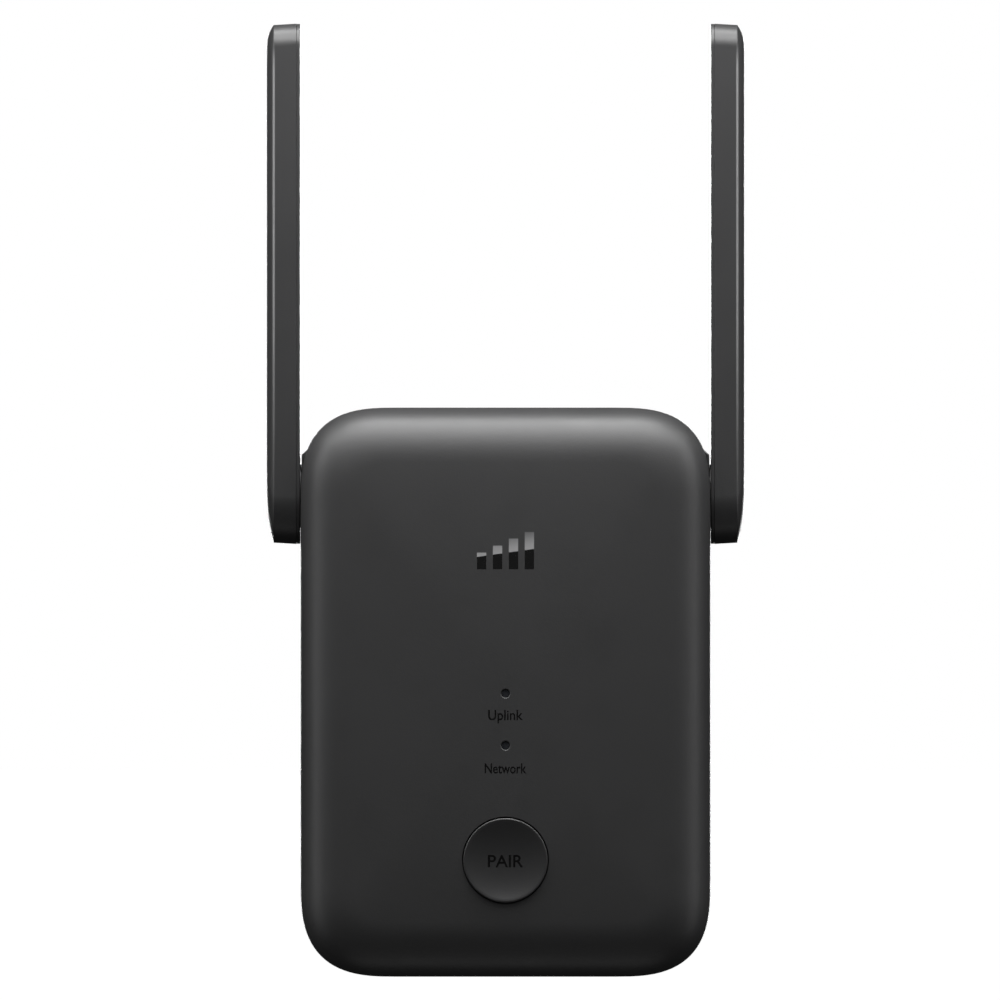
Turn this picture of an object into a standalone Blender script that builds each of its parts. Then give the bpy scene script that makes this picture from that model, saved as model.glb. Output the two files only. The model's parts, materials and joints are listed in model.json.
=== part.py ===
"""Plug-in wifi range extender: a two-part wall housing with two folding blade antennas.

Frame: +Z up, the front faces -Y, the wall is at +Y. The origin is the plug's seat: the
centre of the flat end of the round plug pedestal, between the two pins.
Sizes below are in millimetres; the objects are made in metres.
"""

import math

import bmesh
import bpy
from mathutils import Matrix, Vector

MM = 0.001

# Housing
WIDTH, HEIGHT = 81.4, 113.5
BOTTOM_Z = -64.0
CENTRE_Z = BOTTOM_Z + HEIGHT / 2
FRONT_Y, BACK_Y, PARTING_Y = -48.0, -15.0, -29.0
PARTING_GAP = 0.15
WALL = 2.0
CORNER, CORNER_POWER = 19.0, 2.8
CORNER_STEPS = 8
EDGE_INSET, EDGE_DEPTH, EDGE_POWER = 11.0, 9.5, 2.3
CROWN = ((32.0, 0.0), (24.0, 0.06), (17.0, 0.2), (EDGE_INSET, 0.45))
BACK_EDGE = 4.2
TONGUE_INSET, TONGUE_HEIGHT = 1.05, 1.1

# Plug
PEDESTAL_RADIUS, PEDESTAL_FACE, PEDESTAL_HOLLOW = 18.2, 3.0, 14.6
PIN_SPACING, PIN_RADIUS, PIN_LENGTH, SLEEVE_LENGTH = 19.0, 2.0, 19.0, 10.0
PIN_CORE, PIN_HOLE = 1.45, 2.3
CARRIER_SCREW_Z = 10.5

# Front controls, as heights above the plug's axis
BUTTON_Z, BUTTON_RADIUS, BUTTON_HOLE = -41.0, 8.4, 8.66
BUTTON_DISH = 0.55
LAMP_Z = (-7.5, -17.9)
LAMP_HOLE, LAMP_ROD = 0.95, 0.75

# Boards, each as its rear and front face
BOARD_Y, BOARD_THICK = -38.0, 1.2
BOARD_HALF, BOARD_TOP, BOARD_FOOT = 33.0, 41.0, -60.5
BOARD_BACK = BOARD_Y + BOARD_THICK
POWER_Y, POWER_THICK = -20.0, 1.4
CASE_SCREW = (17.5, -44.0)
BOARD_SCREW = (27.5, 14.0)
POWER_SCREW = (22.0, 38.0)

# Socket for the network plug, in the bottom wall
JACK_HALF, JACK_FRONT, JACK_REAR, JACK_DEPTH = 8.0, -36.5, -23.0, 17.0
PORT_HALF, PORT_FRONT, PORT_REAR, PORT_DEPTH = 5.95, -33.9, -27.0, 13.0
LATCH_HALF, LATCH_REAR = 3.2, -24.7
RESET_X, RESET_Y = 15.0, -34.3

# Antenna hinge and blade, measured from the hinge's axis
HINGE_Y, HINGE_Z = PARTING_Y, 31.9
PAD_RADIUS, PAD_FACE, PAD_INNER = 8.2, WIDTH / 2 + 0.05, 37.2
BARREL_RADIUS, BARREL_BORE, BARREL_END = 3.75, 2.2, 34.0
FLANGE_RADIUS, FLANGE = 5.6, (34.8, 36.0)
LUG_HALF, LUG_REACH, LUG_GAP = 1.2, 7.5, 0.15
DISC_RADIUS, DISC_FACE = 6.3, 40.95
BLADE_INNER, BLADE_OUTER = 41.1, 47.7
LID_EDGE, LID_TONGUE = 41.7, 42.7
BLADE_HALF, BLADE_TOP = 9.3, 94.4
BLADE_CORNER, BLADE_SKIN = 4.4, 1.4
BEVEL_RISE, BEVEL_SIDE, BEVEL_TOP, BEVEL_FOOT = 1.4, 3.0, 3.6, 7.6
BLADE_DRAFT = 0.25
ROUND = 24

FINISHES = {
    "shell": ((0.045, 0.045, 0.046), 0.55, 0.0),
    "blade": ((0.042, 0.042, 0.043), 0.5, 0.0),
    "button": ((0.035, 0.035, 0.036), 0.45, 0.0),
    "dark_plastic": ((0.02, 0.02, 0.02), 0.5, 0.0),
    "label": ((0.12, 0.12, 0.12), 0.6, 0.0),
    "pin_metal": ((0.78, 0.77, 0.74), 0.25, 1.0),
    "screw_metal": ((0.55, 0.55, 0.56), 0.3, 1.0),
    "aluminium": ((0.75, 0.76, 0.77), 0.35, 1.0),
    "contact_gold": ((0.85, 0.62, 0.25), 0.3, 1.0),
    "board_green": ((0.02, 0.16, 0.06), 0.4, 0.0),
    "chip_black": ((0.03, 0.03, 0.03), 0.45, 0.0),
    "white_plastic": ((0.7, 0.7, 0.66), 0.5, 0.0),
    "clear_plastic": ((0.8, 0.82, 0.85), 0.1, 0.0),
    "ferrite": ((0.06, 0.06, 0.065), 0.6, 0.0),
    "tape_yellow": ((0.75, 0.55, 0.08), 0.4, 0.0),
    "capacitor_sleeve": ((0.02, 0.03, 0.09), 0.3, 0.0),
    "capacitor_blue": ((0.03, 0.14, 0.45), 0.4, 0.0),
    "silicone": ((0.35, 0.35, 0.36), 0.7, 0.0),
    "wire_brown": ((0.16, 0.06, 0.025), 0.45, 0.0),
    "wire_blue": ((0.02, 0.08, 0.4), 0.45, 0.0),
    "coax_grey": ((0.25, 0.25, 0.26), 0.45, 0.0),
}


def clear_scene():
    for item in list(bpy.data.objects):
        bpy.data.objects.remove(item)


def finish_of(name):
    """The material of that name, made once."""
    material = bpy.data.materials.get(name)
    if material is None:
        colour, roughness, metallic = FINISHES[name]
        material = bpy.data.materials.new(name)
        material.use_nodes = True
        shader = material.node_tree.nodes["Principled BSDF"]
        shader.inputs["Base Color"].default_value = (*colour, 1.0)
        shader.inputs["Roughness"].default_value = roughness
        shader.inputs["Metallic"].default_value = metallic
    return material


# Shapes, each returned as a bmesh in millimetres


def block(low, high):
    """A box between two corners."""
    bm = bmesh.new()
    size = [b - a for a, b in zip(low, high)]
    middle = [(a + b) / 2 for a, b in zip(low, high)]
    bmesh.ops.create_cube(bm, size=1.0, matrix=Matrix.LocRotScale(middle, None, size))
    return bm


def soft_block(low, high, bevel, axis):
    """A box whose four edges along one axis are rounded."""
    bm = block(low, high)
    along = [e for e in bm.edges if abs((e.verts[0].co - e.verts[1].co)[axis]) > 1e-6]
    bmesh.ops.bevel(
        bm, geom=along, offset=bevel, segments=3, affect="EDGES", profile=0.5, material=-1
    )
    return bm


def turned(profile, axis, at=(0, 0, 0), steps=ROUND):
    """A solid of revolution: (radius, distance along the axis) points, turned about X, Y or Z."""
    bm = bmesh.new()
    points = list(profile)
    if points[0][0] == 0 and points[0][1] == points[1][1]:
        points = points[1:]
    if points[-1][0] == 0 and points[-1][1] == points[-2][1]:
        points = points[:-1]
    line = [bm.verts.new((radius, 0.0, along)) for radius, along in points]
    edges = [bm.edges.new(pair) for pair in zip(line, line[1:])]
    bmesh.ops.spin(
        bm, geom=line + edges, cent=(0, 0, 0), axis=(0, 0, 1), angle=math.tau,
        steps=steps, use_merge=True, use_duplicate=False,
    )
    bmesh.ops.remove_doubles(bm, verts=bm.verts, dist=1e-4)
    bmesh.ops.holes_fill(bm, edges=bm.edges, sides=0)
    turn = {"X": Matrix.Rotation(math.pi / 2, 4, "Y"),
            "Y": Matrix.Rotation(-math.pi / 2, 4, "X"),
            "Z": Matrix.Identity(4)}[axis]
    bmesh.ops.transform(bm, matrix=Matrix.Translation(at) @ turn, verts=bm.verts)
    bmesh.ops.recalc_face_normals(bm, faces=bm.faces)
    return bm


def rod(radius, start, end, axis, at=(0, 0, 0), steps=ROUND):
    return turned(((0, start), (radius, start), (radius, end), (0, end)), axis, at, steps)


def tube(outer, inner, start, end, axis, at=(0, 0, 0), steps=ROUND):
    wall = ((inner, start), (outer, start), (outer, end), (inner, end), (inner, start))
    return turned(wall, axis, at, steps)


def loft(rings):
    """A closed skin through rings of points, with a cap on the first and the last."""
    bm = bmesh.new()
    loops = [[bm.verts.new(point) for point in ring] for ring in rings]
    for first, second in zip(loops, loops[1:]):
        for i, vert in enumerate(first):
            bm.faces.new((first[i - 1], vert, second[i], second[i - 1]))
    bm.faces.new(loops[0])
    bm.faces.new(loops[-1])
    bmesh.ops.recalc_face_normals(bm, faces=bm.faces)
    return bm


def merged(*shapes):
    """Several shapes that don't touch, in one bmesh."""
    mesh = bpy.data.meshes.new("merging")
    bm = bmesh.new()
    for shape in shapes:
        shape.to_mesh(mesh)
        shape.free()
        bm.from_mesh(mesh)
    bpy.data.meshes.remove(mesh)
    return bm


def half_of(shape, y, side):
    """The part of a shape with y past a plane, on the side given as +1 or -1."""
    everything = shape.verts[:] + shape.edges[:] + shape.faces[:]
    bmesh.ops.bisect_plane(
        shape, geom=everything, plane_co=(0, y, 0), plane_no=(0, -side, 0), clear_outer=True
    )
    for vert in shape.verts:
        if abs(vert.co.y - y) < 1e-3:
            vert.co.y = y
    bmesh.ops.holes_fill(shape, edges=shape.edges, sides=0)
    bmesh.ops.recalc_face_normals(shape, faces=shape.faces)
    return shape


def both_sides(make):
    """make(+1) and make(-1), which build the right-hand and the left-hand shape."""
    return merged(make(1), make(-1))


# Objects


def node(name, shape, finish, pivot=None):
    """An object of a shape. With a pivot, an empty, its mesh is measured from that empty."""
    away = pivot.location / MM if pivot else Vector()
    bmesh.ops.translate(shape, vec=-away, verts=shape.verts)
    bmesh.ops.scale(shape, vec=(MM, MM, MM), verts=shape.verts)
    mesh = bpy.data.meshes.new(name)
    shape.to_mesh(mesh)
    shape.free()
    mesh.materials.append(finish_of(finish))
    mesh.shade_smooth()
    mesh.set_sharp_from_angle(angle=math.radians(35))
    made = bpy.data.objects.new(name, mesh)
    made.parent = pivot
    bpy.context.scene.collection.objects.link(made)
    return made


def shape_with(body, shape, operation, name):
    """Adds a Boolean to a node, with the shape kept as its hidden tool."""
    tool = node(f"{body.name}_{name}", shape, "dark_plastic")
    tool.hide_render = True
    tool.display_type = "WIRE"
    change = body.modifiers.new(name, "BOOLEAN")
    change.object = tool
    change.operation = operation


def join(body, shape, name):
    shape_with(body, shape, "UNION", name)


def cut(body, shape, name):
    shape_with(body, shape, "DIFFERENCE", name)


def pivot_at(name, place):
    made = bpy.data.objects.new(name, None)
    made.location = Vector(place) * MM
    bpy.context.scene.collection.objects.link(made)
    return made


def smooth_route(points, step):
    """Points about a step apart on a smooth curve through the given ones."""
    ends = [2 * points[0] - points[1], *points, 2 * points[-1] - points[-2]]
    route = [points[0]]
    for a, b, c, d in zip(ends, ends[1:], ends[2:], ends[3:]):
        count = max(2, round((c - b).length / step))
        for i in range(1, count + 1):
            t = i / count
            route.append(
                (2 * b + (c - a) * t + (2 * a - 5 * b + 4 * c - d) * t**2
                 + (3 * b - a - 3 * c + d) * t**3) / 2
            )
    return route


def lead(name, points, radius, finish, pivot=None, step=2.4):
    """A round wire along a smooth curve through the given points."""
    route = smooth_route([Vector(p) for p in points], step)
    away = pivot.location if pivot else Vector()
    curve = bpy.data.curves.new(name, "CURVE")
    curve.dimensions = "3D"
    spline = curve.splines.new("POLY")
    spline.points.add(len(route) - 1)
    for point, place in zip(spline.points, route):
        point.co = (*(place * MM - away), 1.0)
    curve.bevel_depth = radius * MM
    curve.bevel_resolution = 2
    curve.use_fill_caps = True
    curve.materials.append(finish_of(finish))
    made = bpy.data.objects.new(name, curve)
    made.parent = pivot
    bpy.context.scene.collection.objects.link(made)


# Housing


def housing_ring(inset, y):
    """The housing's outline, set in from its largest, at one depth."""
    reach = max(CORNER - inset, 5.0)
    wide, tall = WIDTH / 2 - inset - reach, HEIGHT / 2 - inset - reach
    corner = []
    for step in range(CORNER_STEPS + 1):
        angle = math.pi / 2 * step / CORNER_STEPS
        power = 2 / CORNER_POWER
        corner.append((
            wide + reach * max(math.cos(angle), 0) ** power,
            tall + reach * max(math.sin(angle), 0) ** power,
        ))
    mirrored = corner[::-1]
    points = corner + [(-x, z) for x, z in mirrored]
    points += [(-x, -z) for x, z in corner] + [(x, -z) for x, z in mirrored]
    return [Vector((x, y, z + CENTRE_Z)) for x, z in points]


def edge_curve(inset, depth, steps):
    """(inset, drop) points of the soft front edge, from the front face back to the side wall."""
    power = 2 / EDGE_POWER
    for step in range(steps + 1):
        angle = math.pi / 2 * (1 - step / steps)
        yield (inset * (1 - max(math.cos(angle), 0) ** power),
               depth * (1 - math.sin(angle) ** power))


def front_cover():
    crown_drop = CROWN[-1][1]
    path = [(inset, FRONT_Y + drop) for inset, drop in CROWN[:-1]]
    path += [(inset, FRONT_Y + crown_drop + drop)
             for inset, drop in edge_curve(EDGE_INSET, EDGE_DEPTH, 6)]
    rim = PARTING_Y - PARTING_GAP
    path += [(0, rim), (TONGUE_INSET, rim), (TONGUE_INSET, PARTING_Y + TONGUE_HEIGHT),
             (WALL, PARTING_Y + TONGUE_HEIGHT)]
    inner = [(WALL + inset, FRONT_Y + WALL + crown_drop + drop)
             for inset, drop in edge_curve(EDGE_INSET - WALL, EDGE_DEPTH - WALL, 5)]
    path += inner[::-1]
    path += [(inset, FRONT_Y + WALL + drop) for inset, drop in CROWN[-2::-1]]
    cover = node("front_cover", loft([housing_ring(*p) for p in path]), "shell")
    notch = both_sides(lambda side: block(
        (side * 38.4 - 2.0, rim - 0.3, HINGE_Z - PAD_RADIUS - 1.4),
        (side * 38.4 + 2.0, PARTING_Y + TONGUE_HEIGHT + 1, HINGE_Z + PAD_RADIUS + 1.4),
    ))
    cut(cover, notch, "tongue_notches")
    join(cover, half_pads(-1), "hinge_pads")
    join(cover, stop_posts(-1), "antenna_stops")
    x, z = CASE_SCREW
    board_x, board_z = BOARD_SCREW
    inside = FRONT_Y + WALL - 1.0
    posts = merged(
        both_sides(lambda side: rod(3.2, inside, -27.3, "Y", (side * x, 0, z), 16)),
        both_sides(lambda side: rod(2.6, inside, BOARD_Y - 0.3, "Y",
                                    (side * board_x, 0, board_z), 16)),
    )
    join(cover, posts, "screw_posts")
    cut(cover, merged(
        rod(BUTTON_HOLE, FRONT_Y - 2, FRONT_Y + WALL + 1, "Y", (0, 0, BUTTON_Z), 40),
        *(rod(LAMP_HOLE, FRONT_Y - 2, FRONT_Y + WALL + 1, "Y", (0, 0, z_lamp), 16)
          for z_lamp in LAMP_Z),
        both_sides(lambda side: rod(1.35, -39.0, -26.0, "Y", (side * x, 0, z), 12)),
        both_sides(lambda side: rod(0.95, -44.0, -37.0, "Y",
                                    (side * board_x, 0, board_z), 12)),
        rod(0.75, BOTTOM_Z - 2, BOTTOM_Z + WALL + 1, "Z", (RESET_X, RESET_Y, 0), 12),
    ), "front_holes")
    cut(cover, merged(hinge_bores(), jack_window()), "side_openings")


def rear_cover():
    start, draft = 0.3, 1.0
    rim = PARTING_Y + PARTING_GAP
    bend = [(1 - math.cos(a), 1 - math.sin(a)) for a in
            (math.pi / 2 * step / 4 for step in range(5))]
    path = [(draft + BACK_EDGE * c, BACK_Y - BACK_EDGE * s) for c, s in bend[::-1]]
    path += [(start, rim), (TONGUE_INSET - 0.3, rim),
             (TONGUE_INSET - 0.3, PARTING_Y + TONGUE_HEIGHT + 0.3),
             (start + WALL, PARTING_Y + TONGUE_HEIGHT + 0.3)]
    inner_edge = BACK_EDGE - 1.0
    path += [(draft + WALL + inner_edge * c, BACK_Y - WALL - inner_edge * s) for c, s in bend]
    cover = node("rear_cover", loft([housing_ring(*p) for p in path]), "shell")
    cut(cover, block((-22.2, BACK_Y - 0.4, -54.2), (22.2, BACK_Y + 1, -29.8)), "label_recess")
    join(cover, pedestal(), "plug_pedestal")
    join(cover, half_pads(1), "hinge_pads")
    join(cover, stop_posts(1), "antenna_stops")
    x, z = CASE_SCREW
    power_x, power_z = POWER_SCREW
    inside = BACK_Y - WALL + 1.0
    posts = merged(
        both_sides(lambda side: rod(3.9, -27.0, inside, "Y", (side * x, 0, z), 16)),
        both_sides(lambda side: rod(2.6, POWER_Y + POWER_THICK + 0.3, inside, "Y",
                                    (side * power_x, 0, power_z), 16)),
    )
    join(cover, posts, "screw_posts")
    cut(cover, rod(PEDESTAL_HOLLOW, BACK_Y - 5, -PEDESTAL_FACE, "Y", steps=32), "plug_hollow")
    join(cover, merged(*(rod(2.5, -4.6, -1.5, "Y", (0, 0, s * CARRIER_SCREW_Z), 16)
                         for s in (1, -1))), "carrier_posts")
    well = ((0, -13), (2.8, -13), (2.8, -25.2), (1.45, -25.2), (1.45, -28.5), (0, -28.5))
    cut(cover, merged(
        both_sides(lambda side: turned(well, "Y", (side * x, 0, z), 16)),
        both_sides(lambda side: rod(0.95, -19.0, -15.9, "Y",
                                    (side * power_x, 0, power_z), 12)),
        *(rod(PIN_HOLE, -6, 2, "Y", (s * PIN_SPACING / 2, 0, 0), 20) for s in (1, -1)),
        *(rod(0.95, -5.5, -1.4, "Y", (0, 0, s * CARRIER_SCREW_Z), 12) for s in (1, -1)),
    ), "screw_wells")
    cut(cover, vents(), "vent_slots")
    cut(cover, merged(hinge_bores(), jack_window()), "side_openings")


def pedestal():
    """The round plug body, with the four notches of a recessed socket's ribs and earth clips."""
    chamfer = 1.2
    body = turned(((0, BACK_Y - 1), (PEDESTAL_RADIUS, BACK_Y - 1),
                   (PEDESTAL_RADIUS, -chamfer), (PEDESTAL_RADIUS - chamfer, 0), (0, 0)),
                  "Y", steps=48)
    tool = node("pedestal_notches", merged(
        *(block((s * 17.6 - 2.0, BACK_Y, -2.8), (s * 17.6 + 2.0, 2, 2.8)) for s in (1, -1)),
        *(block((-3.6, BACK_Y, s * 17.2 - 2.0), (3.6, 2, s * 17.2 + 2.0)) for s in (1, -1)),
    ), "dark_plastic")
    whole = node("pedestal_blank", body, "dark_plastic")
    change = whole.modifiers.new("notches", "BOOLEAN")
    change.object, change.operation = tool, "DIFFERENCE"
    shape = bmesh.new()
    shape.from_object(whole, bpy.context.evaluated_depsgraph_get())
    bmesh.ops.scale(shape, vec=(1 / MM, 1 / MM, 1 / MM), verts=shape.verts)
    for helper in (whole, tool):
        bpy.data.objects.remove(helper)
    return shape


def half_pads(side_y):
    """The flat round seats beside the hinges, as the half on one side of the parting plane."""
    profile = ((0, PAD_INNER), (PAD_RADIUS + 1.15, PAD_INNER),
               (PAD_RADIUS + 1.15, WIDTH / 2 - 1.6), (PAD_RADIUS, PAD_FACE), (0, PAD_FACE))
    plane = PARTING_Y + side_y * PARTING_GAP

    def pad(side):
        own = [(radius, side * along) for radius, along in profile]
        return half_of(turned(own, "X", (0, HINGE_Y, HINGE_Z), 32), plane, side_y)

    return both_sides(pad)


def stop_posts(side_y):
    """Posts inside the cover on which each antenna's lug comes to rest, at one end of its swing."""
    near = HINGE_Y + side_y * (FLANGE_RADIUS + 0.4)
    far = BACK_Y - WALL + 0.8 if side_y > 0 else FRONT_Y + WALL + 0.6
    top = HINGE_Z - LUG_HALF - LUG_GAP

    def post(side):
        inner, outer = FLANGE[0] - 0.2, FLANGE[1] + 0.2
        return block((min(side * inner, side * outer), min(near, far), top - 3.0),
                     (max(side * inner, side * outer), max(near, far), top))

    return both_sides(post)


def hinge_bores():
    reach = BARREL_RADIUS + 0.15
    return both_sides(lambda side: rod(reach, *sorted((side * 33.0, side * 43.0)), "X",
                                       (0, HINGE_Y, HINGE_Z)))


def jack_window():
    gap = 0.3
    return block((-JACK_HALF - gap, JACK_FRONT - gap, BOTTOM_Z - 2),
                 (JACK_HALF + gap, JACK_REAR + gap, BOTTOM_Z + WALL + 1.5))


def vents():
    """Cooling slots: a row through the top wall, and a short row on each side of the socket."""
    def slot(x, z):
        return soft_block((x - 0.7, -27.0, z - 4.5), (x + 0.7, -19.8, z + 4.5), 0.6, 2)

    top = [slot(4.0 * i, BOTTOM_Z + HEIGHT) for i in range(-4, 5)]
    foot = [slot(side * (11.6 + 3.4 * i), BOTTOM_Z) for side in (1, -1) for i in range(3)]
    return merged(*top, *foot)


def rating_label():
    node("rating_label", soft_block((-21.8, BACK_Y - 0.3, -53.8), (21.8, BACK_Y - 0.05, -30.2),
                                    1.5, 1), "label")


def screw(name, at, length, toward, head=2.4, shank=1.1, head_height=1.5, pivot=None):
    """A pan-head screw along Y; its head's underside is at the given place."""
    socket = head * 0.42
    profile = [(0, -head_height + 0.8), (socket, -head_height + 0.8), (socket, -head_height),
               (head * 0.8, -head_height), (head, -head_height * 0.5), (head, 0), (shank, 0),
               (shank, length - 1), (shank * 0.4, length), (0, length)]
    own = [(radius, toward * along) for radius, along in profile]
    node(name, turned(own, "Y", at, 14), "screw_metal", pivot)


def case_screws():
    x, z = CASE_SCREW
    for side, word in ((-1, "left"), (1, "right")):
        screw(f"case_screw_{word}", (side * x, -24.9, z), 12.0, -1)


# Plug


def plug():
    for side, word in ((-1, "left"), (1, "right")):
        x = side * PIN_SPACING / 2
        bead = [(PIN_RADIUS * math.cos(a), PIN_LENGTH - PIN_RADIUS + PIN_RADIUS * math.sin(a))
                for a in (math.pi / 2 * step / 4 for step in range(5))]
        profile = [(0, -11.0), (1.5, -11.0), (1.5, -4.6), (3.4, -4.6), (3.4, -3.3),
                   (PIN_CORE, -3.3), (PIN_CORE, SLEEVE_LENGTH + 0.15),
                   (PIN_RADIUS, SLEEVE_LENGTH + 0.15), *bead[:-1], (0, PIN_LENGTH)]
        node(f"plug_pin_{word}", turned(profile, "Y", (x, 0, 0)), "pin_metal")
        node(f"pin_sleeve_{word}", tube(PIN_RADIUS, PIN_CORE + 0.15, -2.9, SLEEVE_LENGTH, "Y",
                                        (x, 0, 0)), "dark_plastic")
        lead(f"mains_lead_{word}",
             [(x, -11.3, 0), (x, -13.0, -0.6), (side * 10.0, -14.6, -4.0),
              (side * 9.9, -16.4, -7.2), (x, POWER_Y + POWER_THICK + 0.3, -8.0)],
             0.9, "wire_brown" if side < 0 else "wire_blue", step=1.8)
    carrier = node("pin_carrier", soft_block((-13.4, -7.6, -5.2), (13.4, -4.9, 5.2), 3.0, 1),
                   "white_plastic")
    join(carrier, soft_block((-3.4, -7.6 + 0.02, -13.2), (3.4, -4.9 - 0.02, 13.2), 2.4, 1),
         "screw_arm")
    cut(carrier, merged(
        *(rod(1.8, -9, -3, "Y", (s * PIN_SPACING / 2, 0, 0), 16) for s in (1, -1)),
        *(rod(1.5, -9, -3, "Y", (0, 0, s * CARRIER_SCREW_Z), 16) for s in (1, -1)),
    ), "holes")
    for side, word in ((1, "upper"), (-1, "lower")):
        screw(f"carrier_screw_{word}", (0, -7.7, side * CARRIER_SCREW_Z), 5.8, 1,
              head=2.1, shank=0.75, head_height=1.4)


# Main board and what it carries


def main_board():
    board = node("main_board",
                 soft_block((-BOARD_HALF, BOARD_Y, BOARD_FOOT),
                            (BOARD_HALF, BOARD_BACK, BOARD_TOP), 6.0, 1), "board_green")
    x, z = CASE_SCREW
    board_x, board_z = BOARD_SCREW
    cut(board, merged(
        both_sides(lambda side: rod(3.6, BOARD_Y - 1, BOARD_BACK + 1, "Y", (side * x, 0, z), 16)),
        both_sides(lambda side: rod(1.3, BOARD_Y - 1, BOARD_BACK + 1, "Y",
                                    (side * board_x, 0, board_z), 12)),
    ), "holes")
    for side, word in ((-1, "left"), (1, "right")):
        screw(f"main_board_screw_{word}", (side * board_x, BOARD_BACK + 0.1, board_z), 6.0, -1,
              head=2.2, shank=0.75, head_height=1.3)


def radio():
    """The processor under its shield, with the heat path to a finned sink."""
    face = BOARD_Y - 0.1
    low, high = -15.0, 15.0
    foot, top = 3.0, 33.0
    node("wifi_chip", block((-6, face - 0.9, 12), (6, face, 24)), "chip_black")
    node("memory_chip", block((-26.5, face - 1.0, -24), (-18.5, face, -10)), "chip_black")
    can = node("shield_can", soft_block((low, face - 2.2, foot), (high, face, top), 1.0, 1),
               "aluminium")
    cut(can, soft_block((low + 0.3, face - 1.9, foot + 0.3), (high - 0.3, face + 1, top - 0.3),
                        0.7, 1), "hollow")
    pad = face - 2.3
    node("thermal_pad", block((-9, pad - 0.8, 9), (9, pad, 27)), "silicone")
    base = pad - 0.9
    sink = node("heatsink", block((low, base - 1.2, foot), (high, base, top)), "aluminium")
    pitch, fins = 4.0, 7
    for i in range(fins):
        x = pitch * (i - (fins - 1) / 2)
        join(sink, block((x - 0.6, base - 3.9, foot + 0.4), (x + 0.6, base - 0.6, top - 0.4)),
             f"fin_{i}")


def network_socket():
    top = BOTTOM_Z + JACK_DEPTH
    jack = node("jack_body", block((-JACK_HALF, JACK_FRONT, BOTTOM_Z + 0.1),
                                   (JACK_HALF, JACK_REAR, top)), "dark_plastic")
    cut(jack, block((-PORT_HALF, PORT_FRONT, BOTTOM_Z - 1),
                    (PORT_HALF, PORT_REAR, BOTTOM_Z + PORT_DEPTH)), "port")
    cut(jack, block((-LATCH_HALF, PORT_REAR - 1, BOTTOM_Z - 1),
                    (LATCH_HALF, LATCH_REAR, BOTTOM_Z + PORT_DEPTH - 2.5)), "latch_slot")
    jack_contacts()
    node("ethernet_transformer",
         block((-6.4, BOARD_BACK + 0.1, -43.5), (6.4, BOARD_BACK + 4.0, -35.5)), "chip_black")


def jack_contacts():
    """Eight spring contacts on one carrier bar, leaning into the port from its front wall."""
    count, pitch, blade, length = 8, 1.02, 0.46, 9.5
    root = BOTTOM_Z + PORT_DEPTH - 0.3
    low = PORT_FRONT + 0.25
    outline = [(-5.0, root)]
    for i in range(count):
        x = pitch * (i - (count - 1) / 2)
        outline += [(x - blade / 2, root - 1.2), (x - blade / 2, root - length),
                    (x + blade / 2, root - length), (x + blade / 2, root - 1.2)]
    outline += [(5.0, root - 1.2), (5.0, root)]
    outline.insert(1, (-5.0, root - 1.2))
    bm = bmesh.new()
    face = bm.faces.new([bm.verts.new((x, low, z)) for x, z in outline])
    made = bmesh.ops.extrude_face_region(bm, geom=[face])["geom"]
    bmesh.ops.translate(bm, vec=(0, 0.4, 0),
                        verts=[v for v in made if isinstance(v, bmesh.types.BMVert)])
    lean = 0.14
    for vert in bm.verts:
        vert.co.y += lean * max(root - 1.2 - vert.co.z, 0)
    bmesh.ops.recalc_face_normals(bm, faces=bm.faces)
    node("jack_contacts", bm, "contact_gold")


def lamps():
    face = BOARD_Y - 0.1
    for word, z in zip(("upper", "lower"), LAMP_Z):
        node(f"led_{word}", block((-1.0, face - 0.8, z - 0.7), (1.0, face, z + 0.7)),
             "white_plastic")
    middle = sum(LAMP_Z) / 2
    bar = (LAMP_Z[0] - LAMP_Z[1]) / 2 + 1.6
    pipe = node("light_pipe", block((-1.6, -44.4, middle - bar), (1.6, -42.9, middle + bar)),
                "clear_plastic")
    for word, z in zip(("upper", "lower"), LAMP_Z):
        join(pipe, turned(((0, face - 1.1), (1.2, face - 1.1), (LAMP_ROD + 0.25, -44.9),
                           (LAMP_ROD, -45.4), (LAMP_ROD, FRONT_Y + 0.25), (0, FRONT_Y + 0.25)),
                          "Y", (0, 0, z), 16), f"{word}_rod")


# Buttons and their switches


def pair_button():
    """The round front button, with a dished face, a retaining flange and a stem."""
    place = (0, FRONT_Y, BUTTON_Z)
    pivot = pivot_at("pair_button_slide", place)
    rim = BUTTON_RADIUS - 0.35
    dish = [(rim * s, BUTTON_DISH * (1 - s * s)) for s in (0, 0.25, 0.5, 0.75, 1.0)]
    stem_end = 4.9
    profile = [*dish, (BUTTON_RADIUS - 0.1, 0.12), (BUTTON_RADIUS, 0.4), (BUTTON_RADIUS, 2.6),
               (BUTTON_RADIUS + 1.0, 2.6), (BUTTON_RADIUS + 1.0, 3.3), (1.8, 3.3),
               (1.6, stem_end), (0, stem_end)]
    node("pair_button", turned(profile, "Y", place, 40), "button", pivot)
    switch("pair", (0, BOARD_Y - 0.1, BUTTON_Z), "Y", -1, 3.3, 1.65, FRONT_Y + stem_end + 0.1)


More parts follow.
